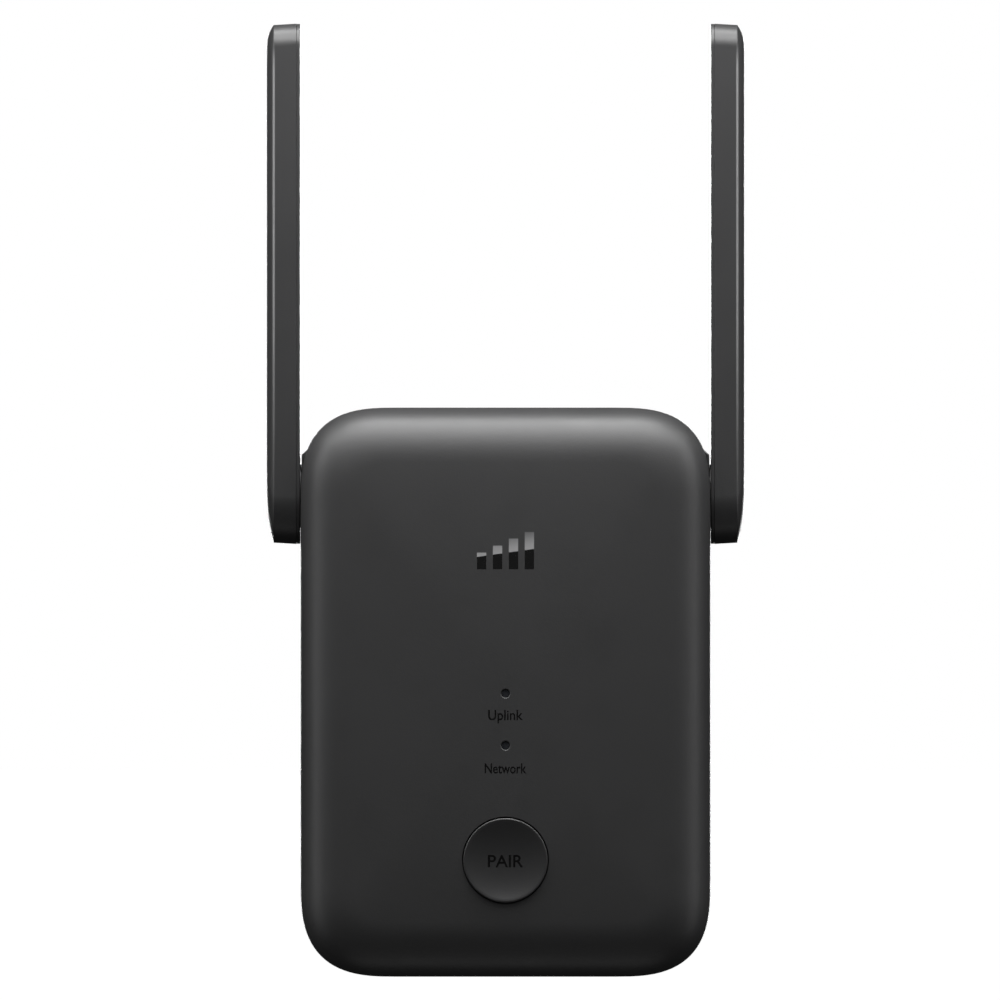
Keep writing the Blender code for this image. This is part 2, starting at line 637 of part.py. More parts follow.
def switch(word, at, axis, toward, tall, radius, tip):
    """A tactile switch: a square body with a round well, and the plunger that stands in it.

    The plunger points along the axis, towards +1 or -1, and its tip is at the given coordinate.
    """
    along = "XYZ".index(axis)
    base = at[along]
    half = 3.0 if tall > 3 else 2.2
    low, high = [c - half for c in at], [c + half for c in at]
    low[along], high[along] = sorted((base, base + toward * tall))
    body = node(f"{word}_switch_body", block(low, high), "chip_black")
    centre = list(at)
    centre[along] = 0
    face, floor = base + toward * (tall + 1), base + toward * 1.2
    cut(body, rod(radius + 0.2, *sorted((floor, face)), axis, centre, 16), "well")
    spring_gap = 0.9
    place = list(at)
    place[along] = tip
    pivot = pivot_at(f"{word}_plunger_slide", place)
    node(f"{word}_switch_plunger",
         rod(radius, *sorted((base + toward * (1.2 + spring_gap), tip)), axis, centre, 16),
         "dark_plastic", pivot)


def reset_switch():
    body_top = BOTTOM_Z + 10.5
    at = (RESET_X, RESET_Y, body_top)
    switch("reset", at, "Z", -1, 3.0, 1.0, body_top - 4.3)


# Power supply


def power_board():
    front, back = POWER_Y, POWER_Y + POWER_THICK
    board = node("power_board", soft_block((-25.5, front, -27.0), (25.5, back, 42.0), 3.0, 1),
                 "board_green")
    power_x, power_z = POWER_SCREW
    cut(board, both_sides(lambda side: rod(1.3, front - 1, back + 1, "Y",
                                           (side * power_x, 0, power_z), 12)), "holes")
    for side, word in ((-1, "left"), (1, "right")):
        screw(f"power_board_screw_{word}", (side * power_x, front - 0.1, power_z), 3.4, 1,
              head=2.1, shank=0.75, head_height=1.3)
    transformer(front - 0.3)
    can = ((0, 0), (4.0, 0), (4.0, 1.4), (3.7, 1.8), (4.0, 2.2), (4.0, 12.2), (3.6, 12.6),
           (0, 12.6))
    for word, x in (("left", 3.5), ("right", 13.0)):
        capacitor(f"bulk_capacitor_{word}", can, (x, front - 0.2, 26.0))
    small = [(radius * 0.8, along * 0.85) for radius, along in can]
    capacitor("output_capacitor", small, (-19.0, front - 0.2, -14.0))
    node("line_inductor", turned(((0, 0), (3.6, 0), (3.6, -1.2), (2.9, -1.6), (2.9, -6.8),
                                  (3.6, -7.2), (3.6, -8.4), (0, -8.4)),
                                 "Y", (18.5, front - 0.2, 12.5), 20), "ferrite")
    node("fuse", turned(((0, -4.5), (1.1, -4.5), (1.7, -3.9), (1.7, 3.9), (1.1, 4.5), (0, 4.5)),
                        "Z", (20.5, front - 2.1, -5.0), 16), "white_plastic")
    node("y_capacitor", turned(((0, -1.5), (2.4, -1.5), (3.6, -0.7), (3.6, 0.7), (2.4, 1.5),
                                (0, 1.5)), "X", (5.5, front - 4.2, -17.0), 20),
         "capacitor_blue")
    node("rectifier", block((7.0, front - 2.6, 2.0), (12.0, front - 0.2, 8.0)), "chip_black")
    node("power_chip", block((-3.0, front - 1.7, -12.0), (2.0, front - 0.2, -6.0)), "chip_black")
    dc_header(front)


def capacitor(name, profile, at):
    """An aluminium can standing on the board, with its pressed groove near the foot."""
    own = [(radius, -along) for radius, along in profile]
    node(name, turned(own, "Y", at, 20), "capacitor_sleeve")


def transformer(foot):
    """A ferrite core of two E halves as one frame, and the winding round its centre leg."""
    x, z, tall = -10.0, 9.0, 12.4
    core = node("transformer_core", block((x - 8.5, foot - tall, z - 3.0), (x + 8.5, foot, z + 3.0)),
                "ferrite")
    for side in (-1, 1):
        inner, outer = sorted((x + side * 2.0, x + side * 6.6))
        cut(core, block((inner, foot - tall + 2.0, z - 5), (outer, foot - 2.0, z + 5)),
            "window_left" if side < 0 else "window_right")
    winding = node("transformer_winding",
                   soft_block((x - 6.3, foot - tall + 2.3, z - 7.4), (x + 6.3, foot - 2.3, z + 7.4),
                              2.6, 1), "tape_yellow")
    cut(winding, block((x - 2.3, foot - tall, z - 3.3), (x + 2.3, foot, z + 3.3)), "leg_hole")


def dc_header(front):
    """The pin strip that takes low voltage from the power board to the main board."""
    x, z = 0.0, -23.0
    strip = node("dc_header", block((x - 5.1, front - 2.6, z - 1.3), (x + 5.1, front - 0.2, z + 1.3)),
                 "chip_black")
    for i in range(4):
        px = x + 2.54 * (i - 1.5)
        join(strip, block((px - 0.35, BOARD_BACK + 0.3, z - 0.35), (px + 0.35, front - 1.0, z + 0.35)),
             f"pin_{i}")


def insulator_sheet():
    y = BOARD_BACK + 1.6
    sheet = node("insulator_sheet", soft_block((-28.0, y, -31.0), (28.0, y + 0.3, 41.0), 2.0, 1),
                 "white_plastic")
    cut(sheet, block((-6.0, y - 1, -25.2), (6.0, y + 1, -20.8)), "header_slot")
    x, z = BOARD_SCREW
    cut(sheet, both_sides(lambda side: rod(3.0, y - 1, y + 1, "Y", (side * x, 0, z), 16)),
        "screw_clearance")


# Antennas


def blade_ring(side, top, foot, x):
    """The blade's outline seen from the side, set in by three amounts, at one thickness."""
    half = BLADE_HALF - side
    high, low = BLADE_TOP - top, -BLADE_HALF + foot
    corner = max(BLADE_CORNER - side * 0.4, 1.0)
    arcs = [(0, low + half, half, math.pi, math.tau, 12),
            (half - corner, high - corner, corner, 0, math.pi / 2, 5),
            (corner - half, high - corner, corner, math.pi / 2, math.pi, 5)]
    points = []
    for y, z, radius, first, last, steps in arcs:
        for step in range(steps + 1):
            angle = first + (last - first) * step / steps
            points.append(Vector((x, HINGE_Y + y + radius * math.cos(angle),
                                  HINGE_Z + z + radius * math.sin(angle))))
    return points


def even_ring(inset, x):
    return blade_ring(inset, inset, inset, x)


def on_side(shape, side):
    """A shape made for the right-hand side, mirrored for the left."""
    if side < 0:
        bmesh.ops.scale(shape, vec=(-1, 1, 1), verts=shape.verts)
        bmesh.ops.reverse_faces(shape, faces=shape.faces)
    return shape


def blade_shell():
    shoulder = BLADE_OUTER - BEVEL_RISE
    rings = []
    for t in (1.0, 0.75, 0.5, 0.25, 0.0):
        rise = 1 - (1 - t) ** 2
        rings.append(blade_ring(BLADE_DRAFT + BEVEL_SIDE * t, BLADE_DRAFT + BEVEL_TOP * t,
                                BLADE_DRAFT + BEVEL_FOOT * t, shoulder + BEVEL_RISE * rise))
    edge = LID_EDGE + 0.1
    rings += [even_ring(0, edge), even_ring(BLADE_SKIN, edge)]
    rings += [even_ring(BLADE_SKIN + BLADE_DRAFT, shoulder - 1.0)]
    rings += [blade_ring(BLADE_SKIN + 1.4, BLADE_SKIN + 1.6, BLADE_SKIN + 4.0, shoulder - 0.1)]
    return loft(rings)


def antenna(word, side):
    """One folding antenna: everything in it turns about the hinge's axis, which lies along X."""
    pivot = pivot_at(f"antenna_{word}_pivot", (side * PAD_FACE, HINGE_Y, HINGE_Z))
    hub = (0, HINGE_Y, HINGE_Z)
    node(f"antenna_{word}_shell", on_side(blade_shell(), side), "blade", pivot)
    lid = loft([even_ring(0.25, BLADE_INNER), even_ring(0.25, LID_EDGE),
                even_ring(BLADE_SKIN + 0.3, LID_EDGE), even_ring(BLADE_SKIN + 0.3, LID_TONGUE)])
    base = node(f"antenna_{word}_base", on_side(lid, side), "blade", pivot)
    barrel = turned(((0, BARREL_END), (BARREL_RADIUS, BARREL_END), (BARREL_RADIUS, FLANGE[0]),
                     (FLANGE_RADIUS, FLANGE[0]), (FLANGE_RADIUS, FLANGE[1]),
                     (BARREL_RADIUS, FLANGE[1]), (BARREL_RADIUS, DISC_FACE),
                     (DISC_RADIUS, DISC_FACE), (DISC_RADIUS, LID_EDGE - 0.2), (0, LID_EDGE - 0.2)),
                    "X", hub, 28)
    join(base, on_side(barrel, side), "barrel")
    lug = block((FLANGE[0] + 0.05, HINGE_Y + 3.0, HINGE_Z - LUG_HALF),
                (FLANGE[1] - 0.05, HINGE_Y + LUG_REACH, HINGE_Z + LUG_HALF))
    join(base, on_side(lug, side), "stop_lug")
    cut(base, on_side(rod(BARREL_BORE, BARREL_END - 1, LID_TONGUE + 1, "X", hub, 20), side),
        "bore")
    ring_x = (FLANGE[1] + PAD_INNER) / 2
    bead = [(4.65 + 0.5 * math.cos(a), ring_x + 0.5 * math.sin(a))
            for a in (math.tau * step / 8 for step in range(9))]
    node(f"antenna_{word}_friction_ring", on_side(turned(bead, "X", hub, 20), side), "silicone",
         pivot)
    strip = block((43.8, HINGE_Y - 4.5, HINGE_Z + 20), (44.6, HINGE_Y + 4.5, HINGE_Z + 86))
    node(f"antenna_{word}_element", on_side(strip, side), "board_green", pivot)
    x = side * 44.4
    lead(f"antenna_{word}_lead",
         [(x, HINGE_Y, HINGE_Z + 19.6), (x, HINGE_Y, HINGE_Z + 11), (x, HINGE_Y, HINGE_Z + 4.5),
          (side * 43.4, HINGE_Y, HINGE_Z + 1.3), (side * 41.2, HINGE_Y, HINGE_Z),
          (side * 35.6, HINGE_Y, HINGE_Z)], 0.65, "coax_grey", pivot, step=1.8)
    lead(f"coax_{word}",
         [(side * 35.2, HINGE_Y, HINGE_Z), (side * 32.2, HINGE_Y, HINGE_Z + 0.2),
          (side * 29.8, HINGE_Y - 2.0, HINGE_Z + 2.4), (side * 29.2, HINGE_Y - 5.4, HINGE_Z + 4.6),
          (side * 29.2, BOARD_BACK + 0.35, HINGE_Z + 5.2)], 0.65, "coax_grey", step=1.8)


def main():
    clear_scene()
    front_cover()
    rear_cover()
    rating_label()
    case_screws()
    plug()
    main_board()
    radio()
    network_socket()
    lamps()
    pair_button()
    reset_switch()
    power_board()
    insulator_sheet()
    for word, side in (("left", -1), ("right", 1)):
        antenna(word, side)


main()
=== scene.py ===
"""The finish of a plug-in wifi range extender: fine housing shells, folding blade antennas,
a dished push button, printed marks, and a material for every piece.

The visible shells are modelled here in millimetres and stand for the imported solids.
Frame: +X right, +Y towards the wall, +Z up; the origin is the plug's seat.
"""

import json
import math

import bmesh
import bpy
from mathutils import Matrix, Vector


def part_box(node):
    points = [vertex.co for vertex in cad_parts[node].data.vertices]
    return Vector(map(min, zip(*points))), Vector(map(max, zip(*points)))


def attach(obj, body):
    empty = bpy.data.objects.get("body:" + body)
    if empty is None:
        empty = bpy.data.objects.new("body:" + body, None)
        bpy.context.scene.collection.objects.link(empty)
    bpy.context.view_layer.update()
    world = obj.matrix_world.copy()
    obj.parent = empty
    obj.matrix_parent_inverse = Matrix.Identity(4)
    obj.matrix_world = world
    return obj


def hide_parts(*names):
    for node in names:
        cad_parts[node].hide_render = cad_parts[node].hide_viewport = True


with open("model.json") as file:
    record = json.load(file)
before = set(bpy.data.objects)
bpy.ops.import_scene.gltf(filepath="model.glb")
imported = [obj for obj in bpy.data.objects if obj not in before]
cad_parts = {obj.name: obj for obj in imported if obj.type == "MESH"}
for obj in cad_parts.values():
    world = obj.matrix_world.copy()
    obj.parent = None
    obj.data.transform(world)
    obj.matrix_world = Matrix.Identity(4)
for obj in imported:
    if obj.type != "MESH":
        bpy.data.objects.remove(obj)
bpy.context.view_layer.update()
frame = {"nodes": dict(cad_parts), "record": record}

MM = 0.001
FULL_TURN = math.tau


def corners(node):
    """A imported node's lowest and highest corner, in millimetres."""
    return [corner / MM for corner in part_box(node)]


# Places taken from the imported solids

FRONT_LOW, FRONT_HIGH = corners("front_cover")
BLADE_LOW, BLADE_HIGH = corners("antenna_right_shell")
LABEL_LOW, LABEL_HIGH = corners("rating_label")
JACK_LOW, JACK_HIGH = corners("jack_body")
BUTTON_LOW, BUTTON_HIGH = corners("pair_button")
PIN_LOW, PIN_HIGH = corners("plug_pin_right")
SLEEVE_LOW, SLEEVE_HIGH = corners("pin_sleeve_right")
LAMPS = [(sum(corners(node), Vector()) / 2).z for node in ("led_upper", "led_lower")]

# Housing

WIDTH = FRONT_HIGH.x - FRONT_LOW.x + 0.4
BOTTOM, TOP = FRONT_LOW.z - 0.14, FRONT_HIGH.z + 0.06
HEIGHT = TOP - BOTTOM
MIDDLE = (BOTTOM + TOP) / 2
FRONT, BACK, PARTING = FRONT_LOW.y, -15.0, -29.0
PARTING_GAP = 0.15
WALL = 2.0
CORNER, CORNER_POWER, CORNER_STEPS = 19.0, 2.85, 22
CORE_X, CORE_Z = WIDTH / 2 - CORNER, HEIGHT / 2 - CORNER
EDGE_INSET, EDGE_DEPTH, EDGE_POWER, EDGE_STEPS = 11.0, 9.5, 2.3, 18
CROWN, CROWN_POWER, CROWN_STEPS = 0.7, 3.0, 14
FACE_BACK = FRONT + WALL + 0.45
BACK_EDGE = 4.2
TONGUE, TONGUE_INSET, TONGUE_X = 1.1, 1.05, 38.4

# Plug

PEDESTAL, PEDESTAL_FACE, PEDESTAL_HOLLOW = 18.2, 3.0, 14.6
PEDESTAL_RIM, PEDESTAL_FLARE = 1.2, 0.6
NOTCH_DEPTH = 2.0
RIB_NOTCH, RIB_HALF = 17.6, 2.8
EARTH_NOTCH, EARTH_HALF = 17.2, 3.6
PIN_X = (PIN_LOW.x + PIN_HIGH.x) / 2
PIN, PIN_CORE, PIN_ROOT, PIN_NOSE = 2.0, 1.45, 1.5, 1.6
COLLAR, COLLAR_BACK, COLLAR_FRONT = 3.4, -3.3, -4.6

# Button and lamps

BUTTON_Z = (BUTTON_LOW.z + BUTTON_HIGH.z) / 2 + 0.2
BUTTON, BUTTON_HOLE, BUTTON_RIM = 8.42, 8.63, 0.25
BUTTON_FLANGE, FLANGE_FRONT, FLANGE_BACK = BUTTON + 1, FRONT + 2.6, FRONT + 3.3
STEM_ROOT, STEM = 1.8, 1.6
DISH, DISH_POWER, DISH_EDGE = 1.1, 2.2, BUTTON - BUTTON_RIM - 0.03
LAMP_HOLE = 0.85

# Antennas

HINGE_Y, HINGE_Z = PARTING, 31.9
PAD, PAD_FACE, PAD_INNER = 8.45, FRONT_HIGH.x, 37.2
BLADE_HALF = HINGE_Z - BLADE_LOW.z + 0.3
BLADE_TOP = BLADE_HIGH.z - HINGE_Z
BLADE_CORNER = 4.4
BLADE_OUTER, BLADE_INNER, LID_EDGE = 47.7, 41.04, 41.7
BEVEL_RISE, BEVEL_SIDE, BEVEL_TOP, BEVEL_FOOT = 1.3, 3.0, 3.8, 8.2
DISC, DISC_FACE = 6.3, 40.8
BARREL, BARREL_BORE, BARREL_END = 3.75, 2.2, 34.0
FLANGE_RADIUS, FLANGE = 5.6, (34.8, 36.0)
BLADE_DRAFT, RIDGE, BLADE_WALL = 0.25, 0.3, 1.4
LID_INSET, LID_ROUND = 0.05, 0.16
JOIN_GAP, JOIN_CHAMFER, TONGUE_STEP, REBATE = 0.05, 0.07, 0.32, 0.4
LUG = (3.0, 7.5, 1.2)

# Screws, slots and prints

CASE_SCREW, BOARD_SCREW, POWER_SCREW = (17.5, -44.0), (27.5, 14.0), (22.0, 38.0)
POST, POST_END, PILOT = 3.2, -27.3, 1.35
REAR_POST, REAR_POST_END = 3.9, -27.0
BOARD_POST, BOARD_POST_END, POWER_POST_END = 2.6, -38.3, -18.3
RESET_PLACE, RESET_HOLE = (15.0, -34.3, 0), 0.75
LABEL_GAP = 0.4
SLOT, SLOT_Y, SLOT_PITCH = 0.7, (-27.0, -19.8), 4.0
PRINT_PROUD, PRINT_ROOT = 0.012, 0.05
MARK_Z, MARK_HEIGHT, MARK_BAR, MARK_PITCH = 21.0, 7.4, 1.85, 3.18
MARK_BARS = (3.3, 4.7, 6.1, 7.4)
MARK_SLANT, MARK_SPLIT, MARK_FADE = 0.14, 0.45, 4.5

# Studio

FLOOR_DROP = 40.0
VIEW_X, VIEW_Z = -1.1, 31.1
VIEW_DISTANCE, VIEW_WIDTH = 8.0, 0.2
SURROUND, FLOOR_RADIUS = 0.012, 12.0
LIGHT_AIM = (0, -0.03, 0.02)
LIGHTS = (
    ("overhead", (0, -0.10, 0.65), (0.5, 0.12), 4.2),
    ("near_top", (0, -0.14, 0.24), (0.4, 0.10), 0.98),
    ("high_front", (0, -0.50, 0.44), (0.5, 0.16), 1.16),
    ("high_left", (-0.42, -0.12, 0.45), (0.3, 0.12), 0.72),
    ("high_right", (0.42, -0.12, 0.45), (0.3, 0.12), 0.72),
    ("side_high_left", (-0.55, -0.20, 0.28), (0.12, 0.3), 0.78),
    ("side_high_right", (0.55, -0.20, 0.28), (0.12, 0.3), 0.78),
    ("side_left", (-0.62, -0.14, 0.03), (0.10, 0.6), 0.52),
    ("side_right", (0.62, -0.14, 0.03), (0.10, 0.6), 0.52),
    ("low_front", (0, -0.40, -0.50), (0.5, 0.3), 0.11),
    ("below", (0, -0.10, -0.55), (0.4, 0.2), 0.16),
    ("behind_left", (-0.16, 1.1, 0.05), (0.2, 0.3), 4.5),
    ("behind_right", (0.16, 1.1, 0.05), (0.2, 0.3), 4.5),
)


# Shader expressions


class Socket:
    """A shader value that takes Python's operators: each one adds a Math node."""

    def __init__(self, tree, socket):
        self.tree = tree
        self.socket = socket

    def math(self, operation, *values):
        return self.tree.node("Math", {"operation": operation}, *values)

    def __add__(self, other):
        return self.math("ADD", self, other)

    def __sub__(self, other):
        return self.math("SUBTRACT", self, other)

    def __mul__(self, other):
        return self.math("MULTIPLY", self, other)

    def __truediv__(self, other):
        return self.math("DIVIDE", self, other)

    def __radd__(self, other):
        return self.math("ADD", other, self)

    def __rsub__(self, other):
        return self.math("SUBTRACT", other, self)

    def __rmul__(self, other):
        return self.math("MULTIPLY", other, self)

    def __rtruediv__(self, other):
        return self.math("DIVIDE", other, self)

    def between(self, low, high):
        """0 below low and 1 above high, with a soft step between them."""
        settings = {"interpolation_type": "SMOOTHSTEP"}
        return self.tree.node("MapRange", settings, self, low, high, 0.0, 1.0)

    def at_least(self, other):
        return self.math("MAXIMUM", self, other)

    def size(self):
        return self.math("ABSOLUTE", self)

    def fraction(self):
        return self.math("FRACT", self)

    def sine(self):
        return self.math("SINE", self)


class Finish:
    """A material under construction. Its shader's fixed values are set by name."""

    def __init__(self, name, colour, roughness, metallic=0.0, **fixed):
        self.material = bpy.data.materials.new(name)
        self.material.use_nodes = True
        self.nodes = self.material.node_tree.nodes
        self.links = self.material.node_tree.links
        self.shader = self.nodes["Principled BSDF"]
        self.set("Base Color", (*colour, 1.0))
        self.set("Roughness", roughness)
        self.set("Metallic", metallic)
        for label, value in fixed.items():
            self.set(label.replace("_", " ").title().replace("Ior", "IOR"), value)

    def node(self, kind, settings=None, *values, output=0, **named):
        """Adds a node: its settings first, then its inputs in order or by name."""
        made = self.nodes.new("ShaderNode" + kind)
        for label, value in (settings or {}).items():
            setattr(made, label, value)
        for place, value in enumerate(values):
            self.feed(made.inputs[place], value)
        for label, value in named.items():
            self.feed(made.inputs[label], value)
        return Socket(self, made.outputs[output])

    def feed(self, entry, value):
        if isinstance(value, Socket):
            self.links.new(value.socket, entry)
        elif value is not None:
            entry.default_value = value

    def set(self, label, value):
        self.feed(self.shader.inputs[label], value)

    def place(self, centre=(0, 0, 0)):
        """Object coordinates, in metres, measured from a centre in millimetres."""
        source = self.node("TexCoord", output="Object")
        return self.node("VectorMath", {"operation": "SUBTRACT"}, source, Vector(centre) * MM)

    def axes(self, place):
        """The three coordinates of a place, in millimetres."""
        made = self.nodes.new("ShaderNodeSeparateXYZ")
        self.feed(made.inputs[0], place)
        return [Socket(self, output) * (1 / MM) for output in made.outputs]

    def noise(self, size, place, detail=2.0, roughness=0.5):
        """A noise from about 0 to 1, whose features have a size in millimetres."""
        return self.node("TexNoise", None, None, None, 1 / (size * MM), detail, roughness,
                         output="Fac", Vector=place)

    def tint(self, low, high, share):
        """A colour between two, by a share from 0 to 1."""
        made = self.nodes.new("ShaderNodeMix")
        made.data_type = "RGBA"
        factor, first, second = made.inputs[0], made.inputs[6], made.inputs[7]
        self.feed(factor, share)
        for entry, colour in ((first, low), (second, high)):
            self.feed(entry, colour if isinstance(colour, Socket) else (*colour, 1.0))
        return Socket(self, made.outputs[2])

    def bump(self, height, depth):
        """Relief from a height of 0 to 1, whose full depth is in millimetres."""
        self.set("Normal", self.node("Bump", Strength=1.0, Distance=depth * MM, Height=height))


# Making pieces


def link(name, data):
    made = bpy.data.objects.new(name, data)
    bpy.context.scene.collection.objects.link(made)
    return made


def mesh_from(name, bm):
    """A mesh whose points and faces are in a fixed order, so that every run makes the same one."""
    points = sorted(bm.verts, key=lambda vert: ([round(value, 5) for value in vert.co], vert.co[:]))
    rank = {vert: place for place, vert in enumerate(points)}
    faces = []
    for face in bm.faces:
        ring = [rank[vert] for vert in face.verts]
        first = ring.index(min(ring))
        faces.append(ring[first:] + ring[:first])
    mesh = bpy.data.meshes.new(name)
    mesh.from_pydata([vert.co for vert in points], [], sorted(faces))
    bm.free()
    return mesh


def piece(name, bm, finish, body, stands_for=(), sharp=30):
    """A finished piece from a bmesh in millimetres, riding on a body."""
    mesh = mesh_from(name, bm)
    mesh.transform(Matrix.Scale(MM, 4))
    mesh.materials.append(finish)
    mesh.shade_smooth()
    mesh.set_sharp_from_angle(angle=math.radians(sharp))
    made = link(name, mesh)
    made.modifiers.new("even_shading", "WEIGHTED_NORMAL").keep_sharp = True
    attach(made, body)
    if stands_for:
        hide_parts(*stands_for)
    return made


def carve(bm, tool, operation="DIFFERENCE"):
    """The first shape with the second one cut away, or joined on. Both are used up."""
    body = link("carved", mesh_from("carved", bm))
    knife = link("knife", mesh_from("knife", tool))
    change = body.modifiers.new("carve", "BOOLEAN")
    change.object = knife
    change.operation = operation
    done = bmesh.new()
    done.from_object(body, bpy.context.evaluated_depsgraph_get())
    for used in (body, knife):
        mesh = used.data
        bpy.data.objects.remove(used)
        bpy.data.meshes.remove(mesh)
    return done


def together(*shapes):
    """Several shapes that stay clear of each other, in one bmesh."""
    done = bmesh.new()
    for shape in shapes:
        mesh = mesh_from("gathered", shape)
        done.from_mesh(mesh)
        bpy.data.meshes.remove(mesh)
    return done


def both_sides(make):
    return together(make(1), make(-1))


def block(low, high):
    """A box between two corners."""
    bm = bmesh.new()
    low, high = Vector(low), Vector(high)
    bmesh.ops.create_cube(bm, size=1, matrix=Matrix.LocRotScale((low + high) / 2, None, high - low))
    return bm


def slot_bar(x, z):
    """The cutter of one cooling slot: a bar along Z with rounded ends."""
    low, high = SLOT_Y
    bm = turned(((0, z - 4.5), (SLOT, z - 4.5), (SLOT, z + 4.5), (0, z + 4.5)), "Z", steps=20)
    far = [vert for vert in bm.verts if vert.co.y > 1e-4]
    near = [vert for vert in bm.verts if vert.co.y < -1e-4]
    bmesh.ops.translate(bm, vec=(0, high - SLOT, 0), verts=far)
    bmesh.ops.translate(bm, vec=(0, low + SLOT, 0), verts=near)
    on_axis = [vert for vert in bm.verts if vert not in far and vert not in near]
    bmesh.ops.translate(bm, vec=(0, (low + high) / 2, 0), verts=on_axis)
    bmesh.ops.translate(bm, vec=(x, 0, 0), verts=bm.verts)
    return bm


def turned(profile, axis="Y", at=(0, 0, 0), steps=64):
    """A turned solid: (radius, distance along the axis) points, spun about X, Y or Z."""
    bm = bmesh.new()
    line = [bm.verts.new((radius, 0, along)) for radius, along in profile]
    edges = [bm.edges.new(pair) for pair in zip(line, line[1:])]
    bmesh.ops.spin(bm, geom=line + edges, cent=(0, 0, 0), axis=(0, 0, 1), angle=FULL_TURN,
                   steps=steps, use_merge=True)
    bmesh.ops.remove_doubles(bm, verts=bm.verts, dist=1e-4)
    open_edges = [edge for edge in bm.edges if edge.is_boundary]
    if open_edges:
        bmesh.ops.holes_fill(bm, edges=open_edges, sides=0)
    turns = {"X": ("Y", 90), "Y": ("X", -90), "Z": ("Z", 0)}
    about, degrees = turns[axis]
    turn = Matrix.Rotation(math.radians(degrees), 4, about)
    bmesh.ops.transform(bm, matrix=Matrix.Translation(at) @ turn, verts=bm.verts)
    bmesh.ops.recalc_face_normals(bm, faces=bm.faces)
    return bm


def arc(centre, radius, first, last, steps):
    """(radius, distance) points of an arc in a turned profile, its angles in degrees."""
    for step in range(steps + 1):
        angle = math.radians(first + (last - first) * step / steps)
        yield centre[0] + radius * math.cos(angle), centre[1] + radius * math.sin(angle)


def grow(bm, ring, place):
    """Extrudes a ring of edges, with each new point put where place(point) says."""
    made = bmesh.ops.extrude_edge_only(bm, edges=ring)["geom"]
    points = {item for item in made if isinstance(item, bmesh.types.BMVert)}
    for point in points:
        point.co = place(point.co)
    return [item for item in made if isinstance(item, bmesh.types.BMEdge)
            and item.verts[0] in points and item.verts[1] in points]


def closed_ring(bm, points):
    verts = [bm.verts.new(point) for point in points]
    return [bm.edges.new(pair) for pair in zip(verts, verts[1:] + verts[:1])]


def keep_half(bm, y, side):
    """The part of a closed shape past a plane across Y, on the side given as +1 or -1."""
    everything = bm.verts[:] + bm.edges[:] + bm.faces[:]
    bmesh.ops.bisect_plane(bm, geom=everything, plane_co=(0, y, 0), plane_no=(0, -side, 0),
                           clear_outer=True)
    rim = [edge for edge in bm.edges if edge.is_boundary]
    bmesh.ops.holes_fill(bm, edges=rim, sides=0)
    bmesh.ops.recalc_face_normals(bm, faces=bm.faces)
    return bm


# Housing


def outline():
    """The housing's outline at its widest: four superelliptic corners, as points at y = 0."""
    power = 2 / CORNER_POWER
    quarter = []
    for step in range(CORNER_STEPS + 1):
        angle = math.pi / 2 * step / CORNER_STEPS
        quarter.append((CORE_X + CORNER * max(math.cos(angle), 0) ** power,
                        CORE_Z + CORNER * max(math.sin(angle), 0) ** power))
    back = quarter[::-1]
    points = quarter + [(-x, z) for x, z in back]
    points += [(-x, -z) for x, z in quarter] + [(x, -z) for x, z in back]
    return [Vector((x, 0, z + MIDDLE)) for x, z in points]


class Skin:
    """A housing skin, grown ring by ring from the outline at one inset and depth."""

    def __init__(self, inset, y):
        self.bm = bmesh.new()
        self.inset = 0.0
        self.first = self.ring = closed_ring(self.bm, outline())
        for point in self.bm.verts:
            point.co = self.moved(point.co, inset, y)
        self.inset = self.first_inset = inset

    def moved(self, point, inset, y):
        """A point of the ring, as it is at another inset and depth."""
        share = (CORNER - inset) / (CORNER - self.inset)
        x = math.copysign(CORE_X, point.x)
        z = math.copysign(CORE_Z, point.z - MIDDLE) + MIDDLE
        return Vector((x + (point.x - x) * share, y, z + (point.z - z) * share))

    def to(self, *path):
        for inset, y in path:
            self.ring = grow(self.bm, self.ring, lambda point: self.moved(point, inset, y))
            self.inset = inset

    def shrink(self, share, y):
        """The ring scaled about the housing's middle."""
        self.ring = grow(self.bm, self.ring, lambda point: Vector(
            (point.x * share, y, (point.z - MIDDLE) * share + MIDDLE)))

    def cap(self):
        bmesh.ops.contextual_create(self.bm, geom=self.ring)

    def other_way(self):
        """Goes back to the first ring, to grow on its other side."""
        self.ring, self.inset = self.first, self.first_inset

    def done(self):
        bmesh.ops.recalc_face_normals(self.bm, faces=self.bm.faces)
        return self.bm


def front_edge(inset, depth, steps):
    """(inset, drop) along the soft front edge, from the side wall forward to the face."""
    power = 2 / EDGE_POWER
    for step in range(steps + 1):
        angle = math.pi / 2 * step / steps
        yield (inset * (1 - max(math.cos(angle), 0) ** power),
               depth * (1 - math.sin(angle) ** power))


def crown_drop(share):
    """How far the front face falls back, at a share of the way from its middle to its edge."""
    return CROWN * share ** CROWN_POWER


def front_y(x, z):
    """The front face's depth at a place."""
    across = abs(x) / (WIDTH / 2 - EDGE_INSET)
    along = abs(z - MIDDLE) / (HEIGHT / 2 - EDGE_INSET)
    return FRONT + crown_drop(max(across, along))


def rim_fillet(rim, side, inset):
    """(inset, y) over the small rounding where a side wall meets the parting line."""
    radius = 0.3
    for step in range(5):
        angle = math.pi / 2 * step / 4
        yield (inset + radius * (1 - math.cos(angle)),
               rim + side * radius * (1 - math.sin(angle)))


